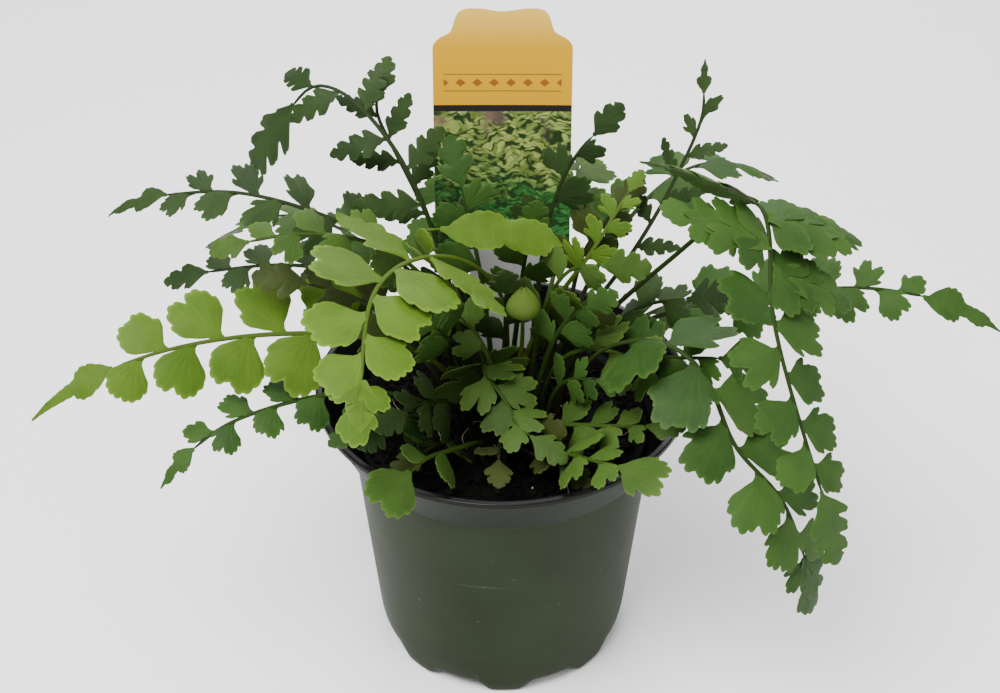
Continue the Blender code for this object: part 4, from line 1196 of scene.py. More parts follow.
    def tip_shells(self) -> list[Shell]:
        """Return the end leaflet's closed shells, which go on straight from the stem.

        A short broad one is a fan, a longer broad one has a pair of small fans at its foot, a
        slim one is a strap that its own weight bends down in its plane, and the others are
        lobed blades.

        Returns:
            The closed shells.
        """
        spec = self.spec
        place, tangent, left, up = self.route.frame(self.route.total)
        setting = Setting(place, tangent, left, up)
        if spec.tip_width >= 0.40 and spec.tip < 17.0:
            grid = self.fan_grid(spec.tip, 4, 1.0, max(spec.cut, 0.16), 1.2)
            return [self.close(setting, grid, spec.tip, 0.12, False)]
        if spec.tip_width < 0.25:
            return [self.close(setting, self.strap_grid(float(left[2])), spec.tip, 0.24, False)]
        if spec.tip_width >= 0.36:
            return self.pinnate(setting, spec.tip, spec.tip_width, 0.12, 1)
        lobes, cut = (2, 0.38) if spec.tip < 17.0 else (3, 0.50)
        grid = self.lobed_grid(spec.tip, 1.12 * spec.tip_width, lobes, max(cut, spec.cut))
        return [self.close(setting, grid, spec.tip, 0.12, False)]

    def pinnate(self, setting: Setting, length: float, half_width: float, droop: float,
                pairs: int) -> list[Shell]:
        """Return a leaflet cut to its midrib: a winged rib, small fans in pairs and an end fan.

        A fan is as long as the leaflet's half width there over the sine of its turn.

        Args:
            setting: where the leaflet sits.
            length: its length.
            half_width: its half width as a share of the length.
            droop: how far its end hangs, as a share of the length.
            pairs: how many pairs of fans it has.

        Returns:
            The closed shells.
        """
        rib = Setting(setting.place, setting.axis, np.cross(setting.face, setting.axis), setting.face)
        shells = [self.rib(rib, length, half_width, droop)]
        places = {1: (0.06,), 2: (0.06, 0.36), 3: (0.04, 0.28, 0.50)}[pairs]
        for k, place in enumerate(places):
            for side in (-1.0, 1.0):
                turn = math.radians(58.0 - 5.0 * k + self.chance.uniform(-5.0, 5.0))
                reach = half_width * length * (1.0 - 0.5 * k / pairs) / math.sin(turn)
                shells.append(self.pinnule(rib, length * (place + 0.03 + 0.03 * side), side * turn,
                                           reach * self.chance.uniform(0.95, 1.10), droop / length))
        start = length * (places[-1] + (0.26 if pairs == 1 else 0.18))
        shells.append(self.pinnule(rib, start, 0.0, length - start, droop / length))
        return shells

    def rib(self, setting: Setting, length: float, half_width: float, droop: float) -> Shell:
        """Return a long leaflet's winged midrib, whose half width is a low sine along it.

        Args:
            setting: where the rib sits.
            length: the leaflet's length.
            half_width: its half width as a share of the length.
            droop: how far its end hangs, as a share of the length.

        Returns:
            The closed shell.
        """
        a = np.linspace(0.0, 1.0, 18)[:, None]
        v = np.linspace(-1.0, 1.0, 5)[None, :]
        half = length * half_width * (0.16 + 0.34 * np.sin(np.pi * a)) * np.sqrt(1.0 - 0.96 * a ** 6)
        grid = np.broadcast_arrays(0.80 * length * a, np.maximum(half, 0.45) * v, 6.0 * a, np.abs(v))
        return self.close(setting, [np.array(g) for g in grid], length, droop, False)

    def pinnule(self, rib: Setting, at: float, turn: float, length: float, bend: float) -> Shell:
        """Return one small fan that leaves the rib at a turn, with its fore edge raised.

        Args:
            rib: the rib's setting.
            at: how far along the rib the fan starts.
            turn: its angle from the rib, below zero on the other side.
            length: its length.
            bend: the rib's droop for each millimetre of its length.

        Returns:
            The closed shell.
        """
        slope = 2.0 * bend * at
        place = rib.place + rib.axis * at - rib.face * (0.5 * slope * at)
        axis, face = unit(rib.axis - rib.face * slope), unit(rib.face + rib.axis * slope)
        out = unit(axis * math.cos(turn) + rib.across * math.sin(turn))
        tilt = float(np.sign(turn)) * self.pinnule_tilt
        across = unit(np.cross(face, out) * math.cos(tilt) - face * math.sin(tilt))
        small = length < 8.5
        wide = self.pinnule_width * (1.22 if small else 1.0)
        grid = self.fan_grid(length, 3, wide, 0.11 if small else max(self.spec.cut, 0.14), 0.14 * length)
        return self.close(Setting(place, out, across, np.cross(out, across)), grid, length, 0.08, False)

    def close(self, setting: Setting, grid: list[Array], length: float, droop: float,
              flip: bool) -> Shell:
        """Lay the grid, add the blade's low swell and give it thickness.

        The blade swells between its veins as a cosine of the vein count, and its margin ripples
        as two slow sines across it.

        Args:
            setting: where the blade sits.
            grid: places out and across, the vein count and the way out.
            length: the blade's length.
            droop: how far its end hangs, as a share of the length.
            flip: whether the columns run the other way round.

        Returns:
            The closed shell.
        """
        u, w, count, out = grid
        swell = 0.02 * np.cos(2.0 * np.pi * count) * np.sin(np.pi * np.clip(out, 0.0, 1.0))
        wave, late = self.chance.uniform(0.0, 2.0 * np.pi, 2)
        ripple = 0.014 * length * out ** 3 * (np.sin(1.3 * count + wave) + 0.6 * np.sin(2.9 * count + late))
        mid = self.lay(setting, u, w, swell + ripple, length, droop)
        edge = np.maximum(out, np.abs(np.linspace(-1.0, 1.0, u.shape[1]))[None, :] ** 8 * np.ones_like(u))
        thick = self.thickness * (1.0 - 0.45 * edge ** 4)
        shade = self.chance.uniform(0.15, 0.85)
        if flip:
            mid, thick, count, out, edge = (a[:, ::-1] for a in (mid, thick, count, out, edge))
        return blade_shell(mid, thick, count, out, edge, shade)

    def fan_grid(self, length: float, lobes: int, wide: float, cut: float, foot: float,
                 slant: float = 0.0) -> list[Array]:
        """Return a wedge-based leaflet as a polar grid.

        The reach at each angle is a shallow dome, cut by a deep notch between lobes and by
        fine scallops, and falls off at the two shoulders. The flanks curve in to the stalk.

        Args:
            length: the leaflet's length.
            lobes: how many blunt lobes its far edge has.
            wide: its width as a share of the full fan's.
            cut: how deep a notch goes, as a share of the length.
            foot: half its foot's width on the rear side.
            slant: how far out its foot runs for each step forward, so that it lies on the stem.

        Returns:
            Places out and across, the vein count and the way out, all on one grid.
        """
        rows, fine = (9, 15) if length > 9.0 else (7, 10)
        t = (1.0 - (1.0 - np.linspace(0.0, 1.0, rows)) ** 1.25)[:, None]
        q = np.linspace(-1.0, 1.0, fine * (lobes - 1) + 7)[None, :]
        phase = (q + 1.0) / 2.0 * (lobes - 1)
        gap = np.clip(np.floor(phase), 0, lobes - 2).astype(int)
        kinds = [0.4, 0.9, 1.9] if cut < 0.12 else [0.55, 1.1, 2.1]
        depth = np.minimum(cut * self.chance.choice(kinds, lobes - 1)[gap], 0.52)
        notch = (1.0 - np.abs(2.0 * (phase - gap) - 1.0)) ** 2.6
        bump = np.abs(np.sin(np.pi * (phase * 3.0 + self.chance.uniform(0.0, 1.0))))
        reach = 1.0 - self.fan_edge_loss * np.abs(q) ** 2.4
        tooth = 0.055 if cut < 0.12 else 0.085
        reach = reach * (1.0 - depth * notch) * (1.0 - tooth * (1.0 - bump) ** 1.5)
        reach = reach * (1.0 - 0.16 * np.abs(q) ** 10) * (1.0 - self.chance.uniform(0.0, 0.14) * q)
        narrow = np.where(q < 0.0, 0.45, 0.70)
        angle = self.fan_spread * q * (narrow + (1.0 - narrow) * smooth(t, 0.0, 0.55))
        r = length * reach * t
        base = np.where(q < 0.0, foot, 0.5 * foot) * q * (1.0 - t) ** 3
        u = r * np.cos(angle) + slant * base
        w = wide * r * np.sin(angle) + base
        return [np.array(g) for g in np.broadcast_arrays(u, w, phase * 2.0 + 0.5, t)]

    def lobed_grid(self, length: float, half_width: float, lobes: int, cut: float) -> list[Array]:
        """Return a leaflet in one blade, with rounded lobes down both sides that point forward.

        The half width is a skewed dome times one less the fourth power of a raised cosine at
        each notch, and the blade's edge lies further out along it in step with the half width.

        Args:
            length: the leaflet's length.
            half_width: its half width as a share of the length.
            lobes: how many lobes each side has below the end lobe.
            cut: how deep a notch goes, as a share of the half width.

        Returns:
            Places out and across, the vein count and the way out, all on one grid.
        """
        a = np.linspace(0.0, 1.0, 20 * lobes + 10)[:, None]
        v = np.linspace(-1.0, 1.0, 9)[None, :]
        shift = np.where(v < 0.0, 0.0, 0.30) + self.chance.uniform(-0.08, 0.08)
        phase = (a - 0.14) * (lobes + 0.9) + shift
        depth = cut * np.where(v < 0.0, self.chance.uniform(0.8, 1.2), self.chance.uniform(0.8, 1.2))
        notch = (0.5 + 0.5 * np.cos(2.0 * np.pi * phase)) ** 4 * (1.0 - smooth(a, 0.82, 0.95))
        tooth = np.abs(np.sin(np.pi * (2.5 * phase + self.chance.uniform(0.0, 1.0))))
        half = half_width * (1.0 - 0.52 * a ** 1.4) * smooth(a, 0.0, 0.20) * np.sqrt(1.0 - a ** 6)
        half = half * (1.0 - depth * notch) * (1.0 - 0.07 * (1.0 - tooth) ** 2)
        half = np.maximum(half, np.maximum(0.012, 0.70 / length * (1.0 - 1.5 * a)))
        u = length * (a + 0.60 * half * np.abs(v) ** 1.2 * (1.0 - smooth(a, 0.72, 1.0)))
        out = np.maximum(np.abs(v), smooth(a, 0.88, 1.0))
        grids = np.broadcast_arrays(u, length * half * v, 2.0 * phase + 0.5, out)
        return [np.array(g) for g in grids]

    def strap_grid(self, rise: float) -> list[Array]:
        """Return a slim end leaflet: low lobes on a rib that narrows to its end.

        The half width is the largest of two skewed sine humps and the rib. The blade bends down
        in its plane by the square of the way out.

        Args:
            rise: how far upward the leaflet's left side points, from -1 to 1.

        Returns:
            Places out and across, the vein count and the way out, all on one grid.
        """
        length, half_width = self.spec.tip, self.spec.tip_width
        strap = length > 30.0
        second = 0.80 if strap else (0.50 if half_width > 0.20 else 0.0)
        a = np.linspace(0.0, 1.0, 48)[:, None]
        v = np.linspace(-1.0, 1.0, 9)[None, :]
        side = np.where(v < 0.0, -0.025, 0.025)
        half = ((0.42 if strap else 0.70) - (0.20 if strap else 0.58) * a) * smooth(a, 0.02, 0.30)
        half = half * np.sqrt(np.clip(1.0 - a ** 8, 0.0, None)) + 0.0 * v
        for start, reach in ((0.04, 0.85 if strap else 1.0), (0.42, second)):
            x = np.clip((a - start - side) / (0.55 if strap else 0.42), 0.0, 1.0)
            half = np.maximum(half, reach * np.sin(np.pi * x ** 0.85) ** 0.6)
        tooth = np.abs(np.sin(np.pi * (a * 11.0 + self.chance.uniform(0.0, 1.0))))
        half = half * half_width * (1.0 - 0.14 * (1.0 - tooth) ** 2)
        half = np.maximum(half, np.maximum(0.012, 0.75 / length * (1.0 - 1.5 * a)))
        u = length * (a + 0.62 * half * np.abs(v) ** 1.2 * (1.0 - smooth(a, 0.78, 1.0)))
        w = length * half * v - 0.22 * rise * u * u / length
        out = np.maximum(np.abs(v), smooth(a, 0.9, 1.0))
        return [np.array(g) for g in np.broadcast_arrays(u, w, 7.0 * a + 0.5, out)]

    def scales(self) -> list[Shell]:
        """Return the thin brown scales on the stem's foot, in a seeded spiral up it.

        Returns:
            One closed shell a scale.
        """
        found = []
        t = np.linspace(0.0, 1.0, 5)[:, None]
        v = np.linspace(-1.0, 1.0, 3)[None, :]
        for k in range(self.scale_count):
            s = 9.0 + (0.30 * self.route.total - 9.0) * (k / self.scale_count) ** 1.3
            place, tangent, left, up = self.route.frame(s)
            turn = 2.4 * k + self.chance.uniform(0.0, 0.8)
            out = left * math.cos(turn) + up * math.sin(turn)
            across = np.cross(tangent, out)
            length = self.chance.uniform(1.6, 3.0)
            half = 0.26 * np.sin(np.pi * (0.15 + 0.82 * t)) * v
            rise = 0.55 + 0.75 * t ** 1.6 * self.chance.uniform(0.4, 1.1)
            mid = (place + tangent * (length * t)[..., None] + across * half[..., None]
                   + out * (rise + 0.0 * v)[..., None])
            flat = np.zeros_like(half)
            found.append(blade_shell(mid, 0.07 + flat, flat, flat, flat, 0.5, finish=2))
        return found


@dataclass
class YoungLeaf:
    """The unrolling young leaf: an upright stem and three cupped lobes closed like a bud.

    The base is the place of the bud's foot, the depth its thickness from front to back as a
    share of its width, and the shift moves the stem's upper end forward to meet it.
    """

    spec: Frond
    base: tuple[float, float, float] = (6.2, -6.7, 122.9)
    height: float = 10.4
    radius: float = 4.7
    depth: float = 0.56
    shift: tuple[float, float, float] = (0.0, -2.3, 0.5)

    def build(self) -> bpy.types.Object:
        """Make the young leaf's object.

        Returns:
            The finished object.
        """
        tone = Tone(self.spec.tone)
        piece = Piece(self.spec.name + "_fine", [MATERIALS[LEAVES[tone].name],
                                                 MATERIALS[STEMS[tone].name],
                                                 MATERIALS[SCALES.name]])
        end = tuple(a + b for a, b in zip(self.spec.route[-1], self.shift))
        spec = replace(self.spec, route=[*self.spec.route[:-1], end])
        stalk = FrondPiece(spec, stem_height=0.62, scale_count=9)
        piece.add(stalk.stem())
        piece.extend(stalk.scales())
        for turn, reach, rise in ((128.0, 86.0, 0.97), (-122.0, 86.0, 0.98), (4.0, 58.0, 1.0)):
            piece.add(self.lobe(math.radians(turn), math.radians(reach), rise))
        return piece.build(self.spec.name, "leaf_" + tone.value)

    def lobe(self, turn: float, reach: float, rise: float) -> Shell:
        """Return one cupped lobe, a strip of a bulb that narrows to a blunt top.

        The bulb's radius swells and closes as a sine of the height, flattened from front to
        back. The strip's half angle widens near the foot and narrows near the top with the
        sixth power of the height.

        Args:
            turn: angle of the lobe's middle round the bud, from the viewer's side.
            reach: its half angle.
            rise: its height as a share of the bud's.

        Returns:
            The closed shell.
        """
        t = np.linspace(0.0, 1.0, 22)[:, None]
        q = np.linspace(-1.0, 1.0, 25)[None, :]
        tall = t * rise
        bulge = self.radius * np.sin(np.pi * (0.03 + 0.95 * tall ** 0.66)) ** 0.80
        half = reach * (1.0 - 0.25 * t ** 6) * (0.80 + 0.20 * smooth(t, 0.0, 0.3))
        half = np.maximum(half, 0.05)
        angle = turn + half * q
        tuck = 0.45 * q * smooth(t, 0.1, 0.5) * (1.0 - 0.7 * t)
        out = bulge * (1.0 + 0.05 * np.cos(3.0 * q)) + tuck * (1.0 - t ** 3)
        up = self.height * (tall + 0.04 * np.cos(2.2 * q) * t)
        mid = np.stack([self.base[0] + out * np.sin(angle), self.base[1] - self.depth * out * np.cos(angle),
                        self.base[2] + up], axis=-1)
        ones = np.ones_like(angle)
        edge = np.maximum(t * ones, np.abs(q) * ones)
        thick = 0.5 * (1.0 - 0.4 * edge ** 4)
        return blade_shell(mid, thick, (2.5 * q + 3.0) * ones, t * ones, edge, 0.9)


# Pot

@dataclass
class Pot:
    """The round nursery pot: stepped rim band, tapered wall and eight notches in the foot."""

    height: float = 0.095
    rim_radius: float = 0.057
    band_height: float = 0.0165
    band_foot: float = 0.0494
    wall_top: float = 0.0466
    foot: float = 0.0400
    flat: float = 0.0335
    wall: float = 0.0014
    floor: float = 0.0016
    notch_count: int = 8
    notch_height: float = 0.0038
    notch_start: float = math.radians(-66.0)
    segments: int = 224
    out_of_round: float = 0.0007

    def corners(self) -> list[tuple[float, float, float, float, float]]:
        """Return (radius, height, notch share, inside, rounding) down the outside and back up.

        Returns:
            The corners, from the foot's middle to the floor's.
        """
        band = self.height - self.band_height
        wall = self.wall
        return [
            (0.0095, 0.0006, 0.0, 0, 0.0002),
            (0.0105, 0.0, 0.0, 0, 0.0002),
            (self.flat, 0.0, 0.0, 0, 0.0006),
            (self.foot - 0.0032, 0.0, 1.0, 0, 0.0006),
            (self.foot - 0.0008, 0.0006, 0.90, 0, 0.0008),
            (self.foot, 0.0034, 0.55, 0, 0.0015),
            (self.foot + 0.0008, 0.0100, 0.0, 0, 0.0020),
            (self.wall_top, band - 0.0005, 0.0, 0, 0.0022),
            (self.band_foot, band + 0.0006, 0.0, 0, 0.0012),
            (self.rim_radius - 0.0014, self.height - 0.0024, 0.0, 0, 0.0006),
            (self.rim_radius, self.height - 0.0016, 0.0, 0, 0.0005),
            (self.rim_radius - 0.0001, self.height, 0.0, 1, 0.0006),
            (self.rim_radius - 0.0022, self.height, 0.0, 1, 0.0006),
            (self.band_foot - wall, band + 0.0010, 0.0, 1, 0.0006),
            (self.wall_top - wall, band - 0.0012, 0.0, 1, 0.0010),
            (self.foot - wall + 0.0008, 0.0100, 0.0, 1, 0.0015),
            (self.foot - wall - 0.0016, self.floor + 0.0016, 0.85, 1, 0.0010),
            (self.flat - 0.0035, self.floor, 0.0, 1, 0.0006),
        ]

    def profile(self) -> Array:
        """Round each corner with a parabola between the points set back from it along its sides.

        Returns:
            The rounded profile, in the corners' columns.
        """
        corner = np.array(self.corners())
        before, here, after = corner[:-2], corner[1:-1], corner[2:]
        back = here[:, 4:5]
        first = np.linalg.norm(before[:, :2] - here[:, :2], axis=1, keepdims=True)
        second = np.linalg.norm(after[:, :2] - here[:, :2], axis=1, keepdims=True)
        start = here + (before - here) * np.minimum(back / first, 0.45)
        end = here + (after - here) * np.minimum(back / second, 0.45)
        t = np.linspace(0.0, 1.0, 5)[:, None, None]
        curve = (1 - t) ** 2 * start + 2 * t * (1 - t) * here + t ** 2 * end
        curve[..., 3] = np.where(here[:, 3] > 0.5, 1.0, 0.0)
        rounded = curve.transpose(1, 0, 2).reshape(-1, 5)
        return np.concatenate([corner[:1], rounded, corner[-1:]])

    def notch(self, angle: Array) -> Array:
        """Return the notch's depth round the foot: 1 in a notch, 0 on a foot, smooth between.

        Args:
            angle: angles round the pot.

        Returns:
            One share an angle.
        """
        step = 2.0 * np.pi / self.notch_count
        offset = np.abs((angle - self.notch_start + step / 2.0) % step - step / 2.0)
        return 1.0 - smooth(offset, math.radians(8.0), math.radians(16.5))

    def build(self) -> bpy.types.Object:
        """Turn the profile round the pot's axis.

        Returns:
            The finished object.
        """
        rows = self.profile()
        angle = 2.0 * np.pi * np.arange(self.segments) / self.segments
        lift = self.notch_height * self.notch(angle)
        radius = rows[:, 0:1] * (1.0 + self.out_of_round * np.sin(3.0 * angle + 0.7))
        height = rows[:, 1:2] + rows[:, 2:3] * lift
        rings = np.stack([radius * np.cos(angle), radius * np.sin(angle), height], axis=-1)
        shell = ring_shell(rings[:, ::-1], np.linspace(0.0, 1.0, len(rows)))
        shell.values["inside"] = np.concatenate([np.repeat(rows[:, 3], self.segments), [0.0, 1.0]])
        piece = Piece("pot_fine", [MATERIALS[POT.name]], scale=1.0)
        piece.add(shell)
        return piece.build("pot", "pot")


# Potting mix

@dataclass
class PottingMix:
    """The peat mix: a crumbly domed top, loose crumbs, pale grains and fine dry roots."""

    top: float = MIX_TOP
    edge: float = 79.5
    radius: float = 45.0
    crumbs: int = 1200
    grains: int = 14
    roots: int = 26
    sides: int = 168
    rings: int = 66
    hole: float = 1.95
    hole_sides: int = 8
    gap: float = 0.3
    weld: float = 0.001
    stem_room: float = 1.45
    stake_room: float = 0.8
    stake_ahead: float = 0.2
    chance: np.random.Generator = field(default_factory=lambda: np.random.default_rng(41))

    def build(self) -> bpy.types.Object:
        """Make the mix's object.

        Returns:
            The finished object.
        """
        piece = Piece("potting_mix_fine", [MATERIALS[f.name] for f in (PEAT, PERLITE, DRY_ROOT)])
        piece.add(self.bored(self.body()))
        piece.add(self.scatter(self.crumbs, 0.35, 1.5, 0.62, 0))
        piece.add(self.scatter(self.grains, 0.25, 0.75, 0.85, 1))
        roots = [self.root() for _ in range(self.roots)]
        piece.extend([r for r in roots if self.clear(r.points[:, 0], r.points[:, 1], 0.1).all()])
        return piece.build("potting_mix", "mix")

    def surface(self, x: Array, y: Array) -> Array:
        """Return the height at (x, y): a low dome plus sine waves that stand for clods and crumbs.

        Args:
            x: places across.
            y: places from front to back.

        Returns:
            One height a place.
        """
        r = np.hypot(x, y) / self.radius
        dome = self.edge + (self.top - self.edge) * (1.0 - smooth(r, 0.45, 1.0))
        rng = np.random.default_rng(7)
        rough = np.zeros_like(x)
        for wave in (0.35, 0.55, 0.9, 1.5, 2.4, 3.8):
            for _ in range(5):
                turn, phase = rng.uniform(0.0, 2.0 * np.pi, 2)
                rough = rough + (0.16 / wave) * np.sin(
                    wave * (x * math.cos(turn) + y * math.sin(turn)) + phase)
        return dome + np.clip(rough, -1.3, 1.3) * (1.0 - 0.6 * smooth(r, 0.9, 1.0))

    def body(self) -> Shell:
        """Return the filling: rings out over the top, down inside the wall and in underneath.

        Returns:
            The closed shell, without its holes.
        """
        angle = 2.0 * np.pi * np.arange(self.sides) / self.sides
        r = self.radius * np.linspace(0.008, 1.0, self.rings)
        x, y = r[:, None] * np.cos(angle), r[:, None] * np.sin(angle)
        over = np.stack([x, y, self.surface(x, y)], axis=-1)
        below = np.array([(44.7, 77.0), (42.9, 60.0), (40.3, 35.0), (37.6, 9.5), (29.0, 1.95), (8.0, 1.95)])
        under = np.stack([below[:, :1] * np.cos(angle), below[:, :1] * np.sin(angle),
                          below[:, 1:] + 0.0 * angle], axis=-1)
        rings = np.concatenate([over, under])[::-1, ::-1]
        return ring_shell(rings, np.linspace(0.0, 1.0, len(rings)))

    def bored(self, filling: Shell) -> Shell:
        """Cut a plain hole for each stem's foot and a slot for the label's stake.

        Args:
            filling: the closed filling.

        Returns:
            The filling with its holes, in triangles.
        """
        stock = Piece("filling", [], 1.0)
        stock.add(Shell(filling.points, np.zeros((0, 4), int), filling.fans()))
        items = [bpy.data.objects.new(piece.name, piece.mesh()) for piece in (stock, self.holes())]
        for item in items:
            bpy.context.scene.collection.objects.link(item)
        cut = items[0].modifiers.new("holes", "BOOLEAN")
        cut.operation, cut.solver, cut.object = "DIFFERENCE", "MANIFOLD", items[1]
        work = bmesh.new()
        work.from_object(items[0], bpy.context.evaluated_depsgraph_get())
        bmesh.ops.remove_doubles(work, verts=work.verts, dist=self.weld)
        bmesh.ops.dissolve_degenerate(work, edges=work.edges, dist=self.weld)
        bmesh.ops.triangulate(work, faces=work.faces)
        made = bpy.data.meshes.new("bored")
        work.to_mesh(made)
        work.free()
        points, corners = np.empty(3 * len(made.vertices)), np.empty(3 * len(made.polygons), int)
        made.vertices.foreach_get("co", points)
        made.loops.foreach_get("vertex_index", corners)
        bpy.data.batch_remove([*items, *(item.data for item in items), made])
        shade = np.random.default_rng(43).uniform(0.0, 0.5, len(points) // 3)
        return Shell(points.reshape(-1, 3), np.zeros((0, 4), int), corners.reshape(-1, 3),
                     values={"shade": shade})

    def holes(self) -> Piece:
        """Return the cutters, each a small gap wider and deeper than what stands in its hole.

        A stem's is an upright prism round its foot, and the label's a slab that leans with it.

        Returns:
            The cutters as one unbuilt piece.
        """
        made = Piece("holes", [], 1.0)
        turn = 2.0 * np.pi * (np.arange(self.hole_sides) + 0.5) / self.hole_sides
        for x, y in self.feet():
            ring = np.stack([x + self.hole * np.cos(turn), y + self.hole * np.sin(turn)], axis=-1)
            made.add(self.prism(ring, (STEM_FOOT - self.gap, HOLE_TOP), (0.0, 0.0), 0.0))
        label = PlantLabel()
        wide, thick = label.stake_half_width + self.gap, 0.5 * label.thickness + self.gap
        ring = np.array([(wide, thick), (-wide, thick), (-wide, -thick), (wide, -thick)])
        made.add(self.prism(ring, (-label.buried - self.gap, HOLE_TOP - MIX_TOP), label.foot[1:],
                            label.lean))
        return made

    def prism(self, ring: Array, ends: tuple, foot: tuple, lean: float) -> Shell:
        """Return a prism that leans back: each point of its ring is carried between two heights.

        Args:
            ring: the points (x, y) of its section.
            ends: its lower and upper end.
            foot: the place (y, z) that the rings and ends are measured from.
            lean: how far it leans.

        Returns:
            The closed shell.
        """
        up = np.broadcast_to(np.array(ends)[:, None], (2, len(ring)))
        x = np.broadcast_to(ring[:, 0], up.shape)
        y = foot[0] + ring[:, 1] * math.cos(lean) + up * math.sin(lean)
        z = foot[1] + up * math.cos(lean) - ring[:, 1] * math.sin(lean)
        return ring_shell(np.stack([x, y, z], axis=-1), np.array([0.0, 1.0]))

    def feet(self) -> Array:
        """Return the place (x, y) of each stem's foot."""
        return np.array([spec.route[0][:2] for spec in FRONDS], float)

    def clear(self, x: Array, y: Array, reach: Array | float) -> Array:
        """Tell which places keep clear of every stem's foot and of the label's stake.

        Args:
            x: places across.
            y: places from front to back.
            reach: how far what lies there spreads.

        Returns:
            True where it is clear.
        """
        feet, label = self.feet(), PlantLabel()
        away = np.hypot(x[:, None] - feet[:, 0], y[:, None] - feet[:, 1]).min(axis=1)
        aside = np.abs(x) - label.stake_half_width > self.gap + reach
        behind = np.abs(y - label.foot[1] + self.stake_ahead) > self.stake_room + reach
        return (away > self.stem_room + reach) & (aside | behind)

    def scatter(self, count: int, low: float, high: float, flat: float, finish: int) -> Shell:
        """Return lumps laid over the surface: stones of two rings and two poles, stretched and turned.

        Args:
            count: how many are drawn; those that a stem or the stake would cut are left out.
            low: the smallest size.
            high: the largest.
            flat: height as a share of the width.
            finish: number of the material.

        Returns:
            All the lumps as one shell of closed parts.
        """
        ring = np.arange(6) * np.pi / 3.0
        upper = np.stack([0.75 * np.cos(ring), 0.75 * np.sin(ring), 0.45 + 0.0 * ring], axis=-1)
        lower = np.stack([0.9 * np.cos(ring + 0.5), 0.9 * np.sin(ring + 0.5), -0.35 + 0.0 * ring], axis=-1)
        stone = np.concatenate([lower, upper, [[0.0, 0.0, -0.8], [0.0, 0.0, 0.85]]])
        j, k = np.arange(6), (np.arange(6) + 1) % 6
        quads = np.stack([j, k, k + 6, j + 6], axis=1)
        caps = np.concatenate([np.stack([np.full(6, 12), k, j], axis=1),
                               np.stack([np.full(6, 13), j + 6, k + 6], axis=1)])
        size = self.chance.uniform(low, high, (count, 1, 1)) * self.chance.uniform(0.6, 1.4, (count, 1, 3))
        size[..., 2] *= flat
        lumps = stone * size * self.chance.uniform(0.8, 1.2, (count, 14, 1))
        spin = self.turns(count)
        lumps = np.einsum("nij,nkj->nki", spin, lumps)
        r = (self.radius - 2.0) * np.sqrt(self.chance.uniform(0.0, 1.0, count))
        turn = self.chance.uniform(0.0, 2.0 * np.pi, count)
        x, y = r * np.cos(turn), r * np.sin(turn)
        kept = self.clear(x, y, np.hypot(lumps[..., 0], lumps[..., 1]).max(axis=1))
        lumps += np.stack([x, y, self.surface(x, y) + 0.25], axis=-1)[:, None]
        shade = np.repeat(self.chance.uniform(0.0, 1.0, count)[kept], 14)
        lumps = lumps[kept]
        shift = 14 * np.arange(len(lumps))[:, None, None]
        return Shell(lumps.reshape(-1, 3), (quads + shift).reshape(-1, 4),
                     (caps + shift).reshape(-1, 3), values={"shade": shade}, finish=finish)

    def turns(self, count: int) -> Array:
        """Return random turns as matrices, from the first two columns made square.

        Args:
            count: how many.

        Returns:
            The matrices, count x 3 x 3.
        """
        a = unit(self.chance.normal(size=(count, 3)))
        b = self.chance.normal(size=(count, 3))
        b = unit(b - a * np.sum(a * b, axis=1, keepdims=True))
        return np.stack([a, b, np.cross(a, b)], axis=2)

    def root(self) -> Shell:
        """Return one dry root: a thin ring carried along a bent line that lies on the mix.

        Returns:
            The closed shell.
        """
        t = np.linspace(0.0, 1.0, 14)
        r = self.chance.uniform(8.0, 38.0)
        turn, heading = self.chance.uniform(0.0, 2.0 * np.pi, 2)
        length = self.chance.uniform(6.0, 16.0)
        bend = self.chance.uniform(-1.2, 1.2)
        x = r * math.cos(turn) + length * t * np.cos(heading + bend * t)
        y = r * math.sin(turn) + length * t * np.sin(heading + bend * t)
        scale = np.minimum(1.0, 42.0 / np.maximum(np.hypot(x, y), 1.0))
        x, y = x * scale, y * scale
        z = self.surface(x, y) + 0.5 + 1.6 * np.sin(np.pi * t) * self.chance.uniform(0.2, 1.0)
        return thread(np.stack([x, y, z], axis=-1), self.chance.uniform(0.10, 0.17), 2)


def thread(line: Array, radius: float, finish: int) -> Shell:
    """Return a thin round thread: a ring whose radius is a root of a sine along the line.

    Args:
        line: the points of its middle.
        radius: its radius at the middle of its length.
        finish: number of the material.

    Returns:
        The closed shell.
    """
    tangent = unit(np.gradient(line, axis=0))
    left = unit(np.cross(tangent, np.array([0.13, 0.21, 1.0])))
    up = np.cross(left, tangent)
    angle = 2.0 * np.pi * np.arange(5) / 5
    share = np.linspace(0.0, 1.0, len(line))
    wide = radius * (0.35 + 0.65 * np.sin(np.pi * share) ** 0.5)
    side = np.cos(angle)[None, :, None] * up[:, None] - np.sin(angle)[None, :, None] * left[:, None]
    return ring_shell(line[:, None] + wide[:, None, None] * side, share, finish)


# Plant label

